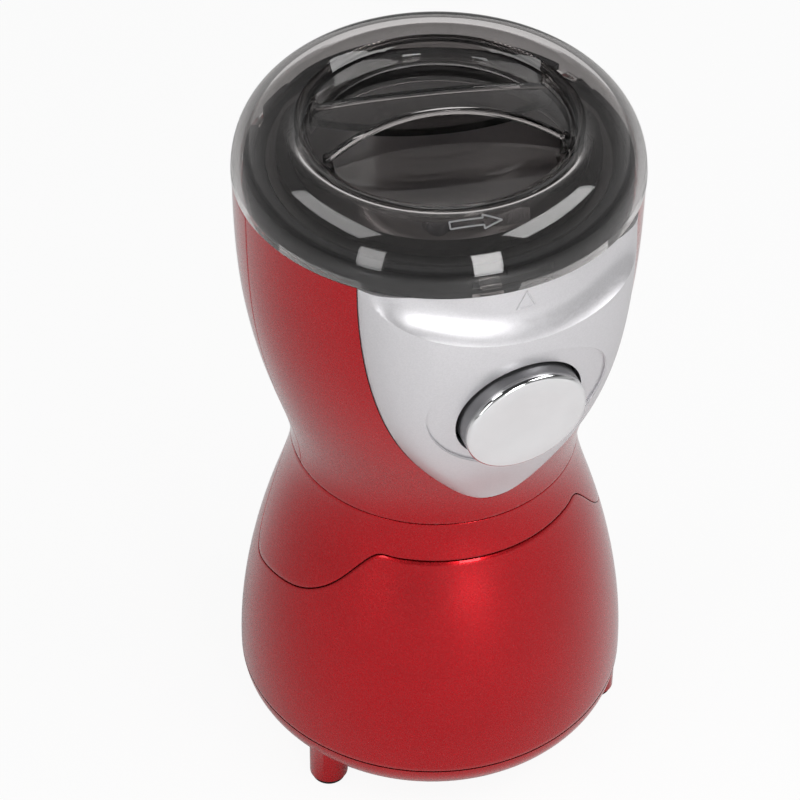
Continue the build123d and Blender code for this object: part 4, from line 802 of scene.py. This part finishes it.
def build_base():
    """The base plate with its legs, their pads and the cord's bush, as packed but smooth."""
    merged_copy("base_plate", "base_and_feet", HOUSING, "red_body")
    merged_copy("rubber_feet", "foot_pads", HOUSING, "black_rubber")
    merged_copy("cord_inlet", "cord_bush", HOUSING, "black_rubber")


def build_bowl():
    """The bayonet ring, the steel bowl and the lid's seal, as packed but smooth."""
    merged_copy("bayonet_ring", "lock_ring", HOUSING, "black_plastic")
    merged_copy("grinding_bowl", "steel_bowl", HOUSING, "bowl_steel")
    merged_copy("lid_seal", "seal_of_lid", SEAL, "black_rubber")


# ------------------------------------------------------------------------- panel
# share of the panel's height from the rim down, and the millimetres that its half width has lost there
NARROWING = ((0.0, 0.0), (0.21, 0.7), (0.453, 3.9), (0.68, 10.7), (0.869, 21.6))

# right half of the recess round the button, in its half widths, and heights above or below its corners
EYE_SHAPE = (
    (0, 1), (0.53, 0.85), (0.86, 0.59), (1, 0.2), (0.91, -0.22), (0.6, -0.63), (0.27, -0.88), (0, -1)
)

# share of the scoop's width and depth that is cut to its full radius
SCOOP_LEVEL = 0.5


def panel_side(inset, steps):
    """(x, height) points down the panel's right side to its tip."""
    size, top = settings("panel"), settings("body").rim_height
    keys = [(size.half_width - less * MM - inset, top - share * size.height) for share, less in NARROWING]
    keys.append((0, top - size.height + inset))
    return even_points(keys, steps, (0, -1), (-1, 0))


class PanelForm:
    """The panel's surfaces, each as Y over a place (x, height)."""

    def __init__(self):
        self.size = settings("panel")
        self.top = settings("body").rim_height
        self.tip = self.top - self.size.height
        self.radius_at = body_curve()
        self.side = numpy.array(panel_side(0.0, 400)[::-1])

    def half_width(self, height):
        """Half the panel's width at a height."""
        return float(numpy.interp(height, self.side[:, 1], self.side[:, 0]))

    def bulge(self, x, height):
        """How far the panel stands out of the housing's round form."""
        size = self.size
        along = (height - size.bulge_height) / (size.bulge_height - self.tip)
        across = min(abs(x) / max(self.half_width(height), 1 * MM), 1.0)
        middle = size.bulge * max(0.0, 1 - (along ** 4 if along > 0 else along ** 2))
        return middle * (1 + 1.6 * across ** 2) * (1 - across ** 10)

    def front(self, x, height):
        """The outer surface."""
        radius = self.radius_at(height)
        return -math.sqrt(max(radius ** 2 - x ** 2, 0)) - self.bulge(x, height)

    def back(self, x, height):
        """The surface that lies on the housing's seat."""
        radius = self.radius_at(height) - self.size.seat
        return -math.sqrt(max(radius ** 2 - x ** 2, 0))

    def recess(self, x, height):
        """The floor of the recess round the button."""
        return self.front(x, height) + self.size.eye_step

    def scoop(self, x, height):
        """The scoop's surface, which is in front of the panel outside the scoop's lip."""
        size = self.size
        depth = self.top - height - math.tan(size.scoop_turn) * x
        spread = math.hypot(x / size.scoop_width, depth / size.scoop_depth)
        hollow = 1 - max(0.0, spread / SCOOP_LEVEL - 1) ** 2
        lip = math.hypot(x, self.front(x, height))
        radius = lip + (size.scoop_radius - lip) * max(hollow, -1.0)
        return -math.sqrt(radius ** 2 - x ** 2)


def prism(points):
    """Cutting block over an outline of (x, height) points."""
    bm = bmesh.new()
    face = bm.faces.new([bm.verts.new((x, CUT_REAR, height)) for x, height in points])
    made = bmesh.ops.extrude_face_region(bm, geom=[face])
    bmesh.ops.translate(bm, verts=only(bmesh.types.BMVert, made), vec=(0, CUT_FRONT - CUT_REAR, 0))
    return closed_outwards(bm, 0.0001 * MM)


def panel_block(inset):
    """Cutting block over the panel's outline, which goes on upwards past the rim."""
    right = panel_side(inset, 64)
    edge, top = right[0][0], right[0][1] + 12 * MM
    left = [(-x, height) for x, height in reversed(right[:-1])]
    return prism([(edge, top)] + right + left + [(-edge, top)])


def sheet_block(columns, rows, low, high, half_width, near, far):
    """Closed block between two surfaces, given as Y over (x, height), from a low height to a high one."""
    bm = bmesh.new()
    bmesh.ops.create_grid(bm, x_segments=columns, y_segments=rows, size=1.0)
    made = bmesh.ops.extrude_face_region(bm, geom=bm.faces[:])
    moved = set(only(bmesh.types.BMVert, made))
    for vert in bm.verts:
        height = low + (high - low) * (vert.co.y + 1) / 2
        x = vert.co.x * half_width(height)
        surface = far if vert in moved else near
        vert.co = (x, surface(x, height), height)
    return closed_outwards(bm, 0.0005 * MM)


def eye_outline(size, steps=240):
    """(x, height) points round the recess."""
    keys = []
    for across, along in EYE_SHAPE:
        x = across * size.eye_width
        rise = along * (size.eye_top if along > 0 else size.eye_bottom)
        keys.append((math.atan2(rise, x), math.hypot(x, rise)))
    reach = Curve(keys, 0.0, 0.0)
    points = []
    for step in range(steps):
        turn = math.tau * step / steps
        distance = reach(math.asin(math.sin(turn)))
        points.append((distance * math.cos(turn), size.eye_height + distance * math.sin(turn)))
    return points


def build_panel():
    """The silver front: a bulged plate with its scoop, recess, groove and hole, and the triangle mark.

    Each block reaches a few millimetres past what it cuts.
    """
    form = PanelForm()
    size = form.size

    def clear(x, height):
        return CUT_CLEAR

    plate = sheet_block(110, 150, form.tip - 1 * MM, form.top,
                        lambda height: form.half_width(height) + 2 * MM, form.front, form.back)
    plate = boolean(plate, panel_block(size.gap), "INTERSECT")

    low, high = form.top - size.scoop_depth - 4 * MM, form.top + 2 * MM
    plate = boolean(plate, sheet_block(130, 50, low, high, lambda height: size.scoop_width + 3 * MM,
                                       form.scoop, clear))

    outline = eye_outline(size)
    low, high = size.eye_height - size.eye_bottom - 2 * MM, size.eye_height + size.eye_top + 2 * MM
    over_recess = sheet_block(60, 60, low, high, lambda height: size.eye_width + 2 * MM, form.recess, clear)
    plate = boolean(plate, boolean(prism(outline), over_recess, "INTERSECT"))
    path = [Vector((x, form.front(x, height), height)) for x, height in outline]
    plate = boolean(plate, ridge(bmesh.new(), path, size.eye_line, sides=12, closed=True))
    hole = rod(settings("button").hole, 2 * DRILL_LENGTH, button_axes(), HOLE_SIDES)
    add_piece(boolean(plate, hole), "silver_front", HOUSING, "silver_panel", ["control_panel"])
    add_piece(triangle_mark(form), "lock_triangle", HOUSING, "silver_panel")


def triangle_mark(form):
    """Raised line round a triangle on the scoop."""
    size = form.size
    half = size.mark_width / 2
    low, high = size.mark_top - size.mark_height, size.mark_top - size.mark_line / 2
    return polygon_ridge([(0, high), (half, low), (-half, low)], 8, size.mark_line,
                         lambda x, height: Vector((x, form.scoop(x, height), height)))


# ------------------------------------------------------------------------ button
def button_axes():
    """Frame at the centre of the button's face, with +Z pointing out of it."""
    size = settings("button")
    out = Vector((0, -math.cos(size.tilt), -math.sin(size.tilt)))
    across = Vector((1, 0, 0))
    turn = Matrix((across, out.cross(across), out)).transposed().to_4x4()
    return Matrix.Translation((0, -size.reach, size.height)) @ turn


def build_button():
    """A dished cap with a rounded edge, hollow behind, and the stem that works the switch."""
    size = settings("button")
    rim, edge = size.radius, size.edge
    dish = [(size.dish * t, size.dish_depth * (t ** 2 - 1)) for t in (0, 0.2, 0.4, 0.6, 0.75, 0.88, 1.0)]
    turns = [math.radians(step) for step in range(0, 91, 15)]
    corner = [(rim - edge + edge * math.sin(turn), edge * math.cos(turn) - edge) for turn in turns]
    hollow = rim - size.wall
    behind = [(rim, -size.depth), (hollow, -size.depth), (hollow, -size.floor), (0, -size.floor)]
    cap = closed_outwards(spin(profile(dish + corner + behind), 160))
    start = size.floor - 0.5 * MM
    middle = Matrix.Translation((0, -size.stem_drop, -(start + size.stem_length) / 2))
    cap = boolean(cap, rod(size.stem, size.stem_length - start, middle, 64), "UNION")
    bmesh.ops.transform(cap, matrix=button_axes(), verts=cap.verts)
    add_piece(cap, "start_button", BUTTON, "button_chrome", ["button_cap"], math.radians(30))


# --------------------------------------------------------------------------- lid
# share of the way over the band at which its rounded edge to the crest starts
BAND_EDGE = 0.55


class GripPlan:
    """The lid's middle seen from above: a grip with arched sides across a disc, and a well beside each."""

    def __init__(self, size):
        self.size = size
        self.radius = size.band_radius
        spread = size.grip_end - size.grip_half
        self.bend = (self.radius ** 2 + spread ** 2) / (2 * spread)
        rise = size.grip_height - size.band_height
        self.crown = (self.radius ** 2 + rise ** 2) / (2 * rise)
        self.end = last_where(lambda x: self.grip_side(x) < self.disc_side(x), 0.0, self.radius)
        self.corner = self.end - size.well_corner

    def grip_side(self, x):
        """Half the grip's width at a place along it."""
        return self.size.grip_half + self.bend - math.sqrt(self.bend ** 2 - x ** 2)

    def disc_side(self, x):
        """Half the disc's width at a place across it."""
        return math.sqrt(self.radius ** 2 - x ** 2)

    def crown_height(self, x, y):
        """Height of the crowned surface that the grip and the wells' rims lie in."""
        return self.size.grip_height - self.crown + math.sqrt(self.crown ** 2 - x ** 2 - y ** 2)

    def in_well(self, face):
        """Whether a face of the flat plan lies in a well."""
        middle = face.calc_center_median()
        return abs(middle.x) < self.corner and abs(middle.y) > self.grip_side(middle.x) + 0.001 * MM

    def places(self, middle=92, tail=4):
        """X of the lines across the grip, closer together near the wells' ends."""
        inner = [self.corner * math.sin(math.pi * (step / middle - 0.5)) for step in range(middle + 1)]
        outer = [self.corner + (self.end - self.corner) * step / tail for step in range(1, tail + 1)]
        return [-x for x in reversed(outer)] + inner + outer


def flat_plan(plan, rows=16, end_rows=6):
    """The lid's middle as a flat disc, its faces in line with the grip's sides."""
    bm = bmesh.new()
    places = plan.places()
    last = len(places) - 1

    def on_grip(column, row):
        x = places[column]
        return x, plan.grip_side(x) * (2 * row / rows - 1), 0

    sheet(bm, last, rows, on_grip)
    for side in (-1, 1):

        def beside_grip(column, row):
            x = places[column]
            inner, outer = plan.grip_side(x), plan.disc_side(x)
            return x, side * (inner + (outer - inner) * row / rows), 0

        def past_end(column, row):
            y = plan.grip_side(plan.end) * (2 * column / rows - 1)
            return side * (plan.end + (plan.disc_side(y) - plan.end) * row / end_rows), y, 0

        sheet(bm, last, rows, beside_grip)
        sheet(bm, rows, end_rows, past_end)
    bmesh.ops.remove_doubles(bm, verts=bm.verts, dist=0.01 * MM)
    bmesh.ops.dissolve_degenerate(bm, edges=bm.edges, dist=0.01 * MM)
    for face in bm.faces:
        if face.normal.z < 0:
            face.normal_flip()
    return bm


def lid_middle(size):
    """The crowned grip and the two wells beside it, with rounded edges."""
    plan = GripPlan(size)
    bm = flat_plan(plan)
    wells = [face for face in bm.faces if plan.in_well(face)]
    for vert in bm.verts:
        on_rim = vert.co.xy.length > plan.radius - 0.02 * MM
        vert.co.z = size.band_height if on_rim else plan.crown_height(vert.co.x, vert.co.y)
    floor = only(bmesh.types.BMVert, bmesh.ops.extrude_face_region(bm, geom=wells))
    covers = [face for face in wells if face.is_valid]
    bmesh.ops.delete(bm, geom=covers, context="FACES_KEEP_BOUNDARY")
    narrowing = 1 - size.well_radius / plan.radius
    for vert in floor:
        inwards = 1 - narrowing * (vert.co.xy.length / plan.radius) ** 6
        vert.co = (vert.co.x * inwards, vert.co.y * inwards, size.well_floor)
    return soften(bm, size.well_edge, 3, math.radians(40))


def band_profile(size, steps=12):
    """(radius, height) points from the wells' rim up the band and round its edge, short of the crest."""
    reach = Curve([(0, size.band_radius), (BAND_EDGE, size.crest_edge_radius), (1, size.crest_radius)])
    edge_height = size.crest_edge_height - 0.25 * MM
    height = Curve([(0, size.band_height), (BAND_EDGE, edge_height), (1, size.crest_height)], None, 0.0)
    return [(reach(step / steps), height(step / steps)) for step in range(1, steps)]


def lid_side(size):
    """(radius, height) points from the crest over the shoulder down to the lower edge."""
    keys = [
        (size.crest_radius, size.crest_height),
        (size.shoulder_radius, size.shoulder_height),
        (size.side_radius, size.side_height),
        (size.radius, size.bottom),
    ]
    return even_points(keys, 28, (1, 0), (0, -1))


def lid_cover(size):
    """The lid's one-piece wall, grown outwards from its middle."""
    bm = lid_middle(size)
    edges = [edge for edge in bm.edges if edge.is_boundary]
    for reach, height in band_profile(size) + lid_side(size):
        made = bmesh.ops.extrude_edge_only(bm, edges=edges)
        edges = only(bmesh.types.BMEdge, made)
        for vert in only(bmesh.types.BMVert, made):
            spot = vert.co.xy.normalized() * reach
            vert.co = (spot.x, spot.y, height)
    closed_outwards(bm, 0.002 * MM)
    top = max(bm.faces, key=lambda face: face.calc_center_median().z)
    if top.normal.z < 0:
        bmesh.ops.reverse_faces(bm, faces=bm.faces)
    back_up(bm, size.wall)
    bmesh.ops.transform(bm, matrix=Matrix.Rotation(size.turn, 4, "Z"), verts=bm.verts)
    return bm


def lid_skirt(size):
    """Ring inside the lid that holds the seal."""
    outer, inner = size.skirt_radius, size.skirt_radius - size.skirt_wall
    low, high = size.skirt_bottom, size.crest_edge_height - size.wall - 0.15 * MM
    ring = spin(profile([(outer, low), (outer, high), (inner, high), (inner, low), (outer, low)]), 192)
    return soften(closed_outwards(ring), 0.3 * MM)


def lid_lugs(size):
    """Three lugs that turn under the bayonet ring."""
    bm = bmesh.new()
    for step in range(3):
        made = bmesh.ops.create_cube(bm, size=1.0)
        turn = Matrix.Rotation(size.turn + size.lug_angle + step * math.tau / 3, 4, "Z")
        spot = Matrix.Translation((0, -size.lug_radius, size.lug_middle))
        shape = Matrix.Diagonal((size.lug_length, size.lug_width, size.lug_height, 1))
        bmesh.ops.transform(bm, matrix=turn @ spot @ shape, verts=made["verts"])
    return soften(bm, 0.3 * MM)


def lid_arrow(size):
    """Raised outline of an arrow on the lid's side."""
    half, shaft, head = size.arrow_length / 2, size.arrow_shaft / 2, size.arrow_head / 2
    neck = half - size.arrow_point
    corners = [(-half, -shaft), (neck, -shaft), (neck, -head), (half, 0), (neck, head), (neck, shaft),
               (-half, shaft)]
    surface = Curve([spot for spot in lid_side(size) if spot[0] < size.radius - 0.2 * MM])
    turn = Matrix.Rotation(size.turn + size.arrow_angle, 3, "Z")

    def on_lid(x, y):
        flat = Vector((x, y - size.arrow_radius, 0))
        return turn @ flat + Vector((0, 0, surface(flat.length)))

    return polygon_ridge(corners, 6, size.arrow_line, on_lid)


def build_lid():
    """The clear cover, its skirt and lugs, and the arrow on it."""
    size = settings("lid")
    add_piece(lid_cover(size), "clear_cover", LID, "clear_lid", ["lid"], math.radians(38))
    add_piece(lid_skirt(size), "cover_skirt", LID, "clear_lid")
    add_piece(lid_lugs(size), "cover_lugs", LID, "clear_lid")
    arrow = add_piece(lid_arrow(size), "turn_arrow", LID, "clear_lid")
    arrow.data.materials[0] = finish_of("raised_line")


# ------------------------------------------------------------------ packed nodes
def dress_nodes():
    """Gives every packed node the finish of its slot."""
    slots = {entry["node"]: entry["material_slot"] for entry in frame["record"]["subparts"]}
    for name, node in NODES.items():
        material = finish_of(slots[name])
        node.data.materials.clear()
        node.data.materials.append(material)


# ------------------------------------------------------------------------- stage
CAMERA_DISTANCE = 802.2 * MM
CAMERA_ELEVATION = math.radians(42.12)
CAMERA_AZIMUTH = math.radians(-25.0)
CAMERA_LENS = 135.0
AIM_HEIGHT = 105.0 * MM
AIM_TURN, AIM_TILT, AIM_ROLL = 0.011409, 0.000636, -0.019743
LAMP_DISTANCE = 0.8
LAMP_AIM = Vector((0, 0, 0.11))
FLOOR_RADIUS = 3.0
FLOOR_GLOW = 0.92       # share of plain white in the floor that the camera sees
AMBIENT = 0.3           # strength of the world for dull surfaces
WALL_LOW, WALL_HIGH = 0.4, 0.05     # its strength in reflections, near the floor and overhead


def add_camera():
    """Camera before the grinder, turned a little off the axis it circles."""
    forward = Vector((0, math.cos(CAMERA_ELEVATION), -math.sin(CAMERA_ELEVATION)))
    up = Vector((0, math.sin(CAMERA_ELEVATION), math.cos(CAMERA_ELEVATION)))
    spot = Vector((0, 0, AIM_HEIGHT)) - forward * CAMERA_DISTANCE
    axes = Matrix((Vector((1, 0, 0)), up, -forward)).transposed()
    axes = Matrix.Rotation(AIM_TURN, 3, up) @ axes
    axes = Matrix.Rotation(AIM_TILT, 3, axes.col[0]) @ axes
    axes = Matrix.Rotation(AIM_ROLL, 3, -axes.col[2]) @ axes
    turn = Matrix.Rotation(CAMERA_AZIMUTH, 3, "Z")
    data = bpy.data.cameras.new("camera")
    data.lens, data.sensor_width = CAMERA_LENS, 36.0
    data.clip_start, data.clip_end = 0.05, 20
    camera = bpy.data.objects.new("camera", data)
    bpy.context.scene.collection.objects.link(camera)
    camera.matrix_world = Matrix.Translation(turn @ spot) @ (turn @ axes).to_4x4()
    bpy.context.scene.camera = camera


def add_lamp(name, azimuth, elevation, width, height, power):
    """Soft rectangular lamp that looks at the grinder from an angle seen from above."""
    turn, rise = math.radians(azimuth), math.radians(elevation)
    back = Vector((math.sin(turn) * math.cos(rise), -math.cos(turn) * math.cos(rise), math.sin(rise)))
    data = bpy.data.lights.new(name, "AREA")
    data.shape, data.size, data.size_y, data.energy = "RECTANGLE", width, height, power
    lamp = bpy.data.objects.new(name, data)
    bpy.context.scene.collection.objects.link(lamp)
    lamp.location = LAMP_AIM + back * LAMP_DISTANCE
    lamp.rotation_mode = "QUATERNION"
    lamp.rotation_quaternion = back.to_track_quat("Z", "Y")


def floor_paper():
    """Pale paper that the camera sees as nearly plain white."""
    paper = Finish("floor_paper", Roughness=0.9, Base_Color=tuple(settings("finish").floor))
    seen = paper.node("ShaderNodeLightPath", output="Is Camera Ray")
    glow = paper.node("ShaderNodeEmission")
    lit = Signal(paper, paper.shader.outputs[0])
    mix = paper.node("ShaderNodeMixShader", {}, {0: FLOOR_GLOW * seen, 1: lit, 2: glow})
    paper.tree.links.new(mix.socket, paper.tree.nodes["Material Output"].inputs["Surface"])
    return paper.material


def add_floor():
    """Round floor that the grinder stands on."""
    bm = bmesh.new()
    bmesh.ops.create_circle(bm, cap_ends=True, segments=64, radius=FLOOR_RADIUS)
    mesh = bpy.data.meshes.new("floor")
    bm.to_mesh(mesh)
    bm.free()
    mesh.materials.append(floor_paper())
    floor = bpy.data.objects.new("floor", mesh)
    bpy.context.scene.collection.objects.link(floor)


def add_world():
    """White behind the grinder, and a soft room in reflections: lighter low down than overhead."""
    world = bpy.data.worlds.new("studio")
    bpy.context.scene.world = world
    world.use_nodes = True
    sky = Graph(world.node_tree)
    background = sky.tree.nodes["Background"]
    background.inputs["Color"].default_value = (1, 1, 1, 1)
    direction = sky.node("ShaderNodeTexCoord", output="Generated")
    height = sky.node("ShaderNodeSeparateXYZ", {}, {0: direction}, "Z")
    wall = sky.node("ShaderNodeMapRange", {"interpolation_type": "SMOOTHSTEP"}, {
        "Value": height, "From Min": 0.05, "From Max": 0.5, "To Min": WALL_LOW, "To Max": WALL_HIGH})
    kinds = ("Is Camera Ray", "Is Transmission Ray", "Is Glossy Ray")
    seen, through, shiny = (sky.node("ShaderNodeLightPath", output=kind) for kind in kinds)
    room = shiny * wall + (1 - shiny) * AMBIENT
    strength = seen.math("MAXIMUM", through).math("MAXIMUM", room)
    sky.tree.links.new(strength.socket, background.inputs["Strength"])


def build_stage():
    """The floor, the world, four lamps and the camera."""
    bpy.context.scene.view_settings.view_transform = "Standard"
    add_floor()
    add_world()
    add_lamp("left_wall", -94, 47, 0.6, 0.24, 1.4)
    add_lamp("right_wall", 52, 47, 0.66, 0.24, 2.6)
    add_lamp("front_left", -58, 12, 0.18, 0.4, 0.9)
    add_lamp("front_right", 0, 12, 0.2, 0.44, 2.3)
    add_camera()


# --------------------------------------------------------------------- operators
class GRINDER_OT_dress_nodes(bpy.types.Operator):
    """Give each packed node its finish"""

    bl_idname = "grinder.dress_nodes"
    bl_label = "Dress nodes"
    bl_options = {"REGISTER", "UNDO"}

    def execute(self, context):
        dress_nodes()
        return {"FINISHED"}


class GRINDER_OT_lower_body(bpy.types.Operator):
    """Build the lower housing and the waist collar"""

    bl_idname = "grinder.lower_body"
    bl_label = "Lower body"
    bl_options = {"REGISTER", "UNDO"}

    def execute(self, context):
        build_lower_body()
        return {"FINISHED"}


class GRINDER_OT_upper_body(bpy.types.Operator):
    """Build the front and rear housing"""

    bl_idname = "grinder.upper_body"
    bl_label = "Upper body"
    bl_options = {"REGISTER", "UNDO"}

    def execute(self, context):
        build_upper_body()
        return {"FINISHED"}


class GRINDER_OT_panel(bpy.types.Operator):
    """Build the silver front with its scoop, recess and mark"""

    bl_idname = "grinder.panel"
    bl_label = "Panel"
    bl_options = {"REGISTER", "UNDO"}

    def execute(self, context):
        build_panel()
        return {"FINISHED"}


class GRINDER_OT_button(bpy.types.Operator):
    """Build the start button"""

    bl_idname = "grinder.button"
    bl_label = "Button"
    bl_options = {"REGISTER", "UNDO"}

    def execute(self, context):
        build_button()
        return {"FINISHED"}


class GRINDER_OT_base(bpy.types.Operator):
    """Smooth the base plate with its feet, the pads and the cord bush"""

    bl_idname = "grinder.base"
    bl_label = "Base"
    bl_options = {"REGISTER", "UNDO"}

    def execute(self, context):
        build_base()
        return {"FINISHED"}


class GRINDER_OT_bowl(bpy.types.Operator):
    """Smooth the bayonet ring, the bowl and the lid's seal"""

    bl_idname = "grinder.bowl"
    bl_label = "Bowl"
    bl_options = {"REGISTER", "UNDO"}

    def execute(self, context):
        build_bowl()
        return {"FINISHED"}


class GRINDER_OT_lid(bpy.types.Operator):
    """Build the clear lid with its grip, wells, skirt, lugs and arrow"""

    bl_idname = "grinder.lid"
    bl_label = "Lid"
    bl_options = {"REGISTER", "UNDO"}

    def execute(self, context):
        build_lid()
        return {"FINISHED"}


class GRINDER_OT_stage(bpy.types.Operator):
    """Add the floor, the world, the lamps and the camera"""

    bl_idname = "grinder.stage"
    bl_label = "Stage"
    bl_options = {"REGISTER", "UNDO"}

    def execute(self, context):
        build_stage()
        return {"FINISHED"}


OPERATORS = (
    GRINDER_OT_dress_nodes,
    GRINDER_OT_lower_body,
    GRINDER_OT_upper_body,
    GRINDER_OT_panel,
    GRINDER_OT_button,
    GRINDER_OT_base,
    GRINDER_OT_bowl,
    GRINDER_OT_lid,
    GRINDER_OT_stage,
)


class GRINDER_PT_tools(bpy.types.Panel):
    """Lists the builders and the sizes they read"""

    bl_label = "Spice Grinder"
    bl_idname = "GRINDER_PT_tools"
    bl_space_type = "VIEW_3D"
    bl_region_type = "UI"
    bl_category = "Grinder"

    def draw(self, context):
        for made in OPERATORS:
            self.layout.operator(made.bl_idname)
        for name, group in GROUPS.items():
            box = self.layout.box()
            box.label(text=group.__doc__)
            for label in group.__annotations__:
                box.prop(getattr(context.scene, name), label)


def register():
    """Makes the sizes, builders and panel known to Blender."""
    for name, group in GROUPS.items():
        bpy.utils.register_class(group)
        setattr(bpy.types.Scene, name, PointerProperty(type=group))
    for made in OPERATORS:
        bpy.utils.register_class(made)
    bpy.utils.register_class(GRINDER_PT_tools)


def unregister():
    """Takes them out again."""
    bpy.utils.unregister_class(GRINDER_PT_tools)
    for made in reversed(OPERATORS):
        bpy.utils.unregister_class(made)
    for name, group in GROUPS.items():
        delattr(bpy.types.Scene, name)
        bpy.utils.unregister_class(group)


def main():
    """Builds everything."""
    register()
    bpy.ops.grinder.dress_nodes()
    bpy.ops.grinder.lower_body()
    bpy.ops.grinder.upper_body()
    bpy.ops.grinder.panel()
    bpy.ops.grinder.button()
    bpy.ops.grinder.base()
    bpy.ops.grinder.bowl()
    bpy.ops.grinder.lid()
    bpy.ops.grinder.stage()
    bpy.context.view_layer.update()


if __name__ == "__main__":
    main()
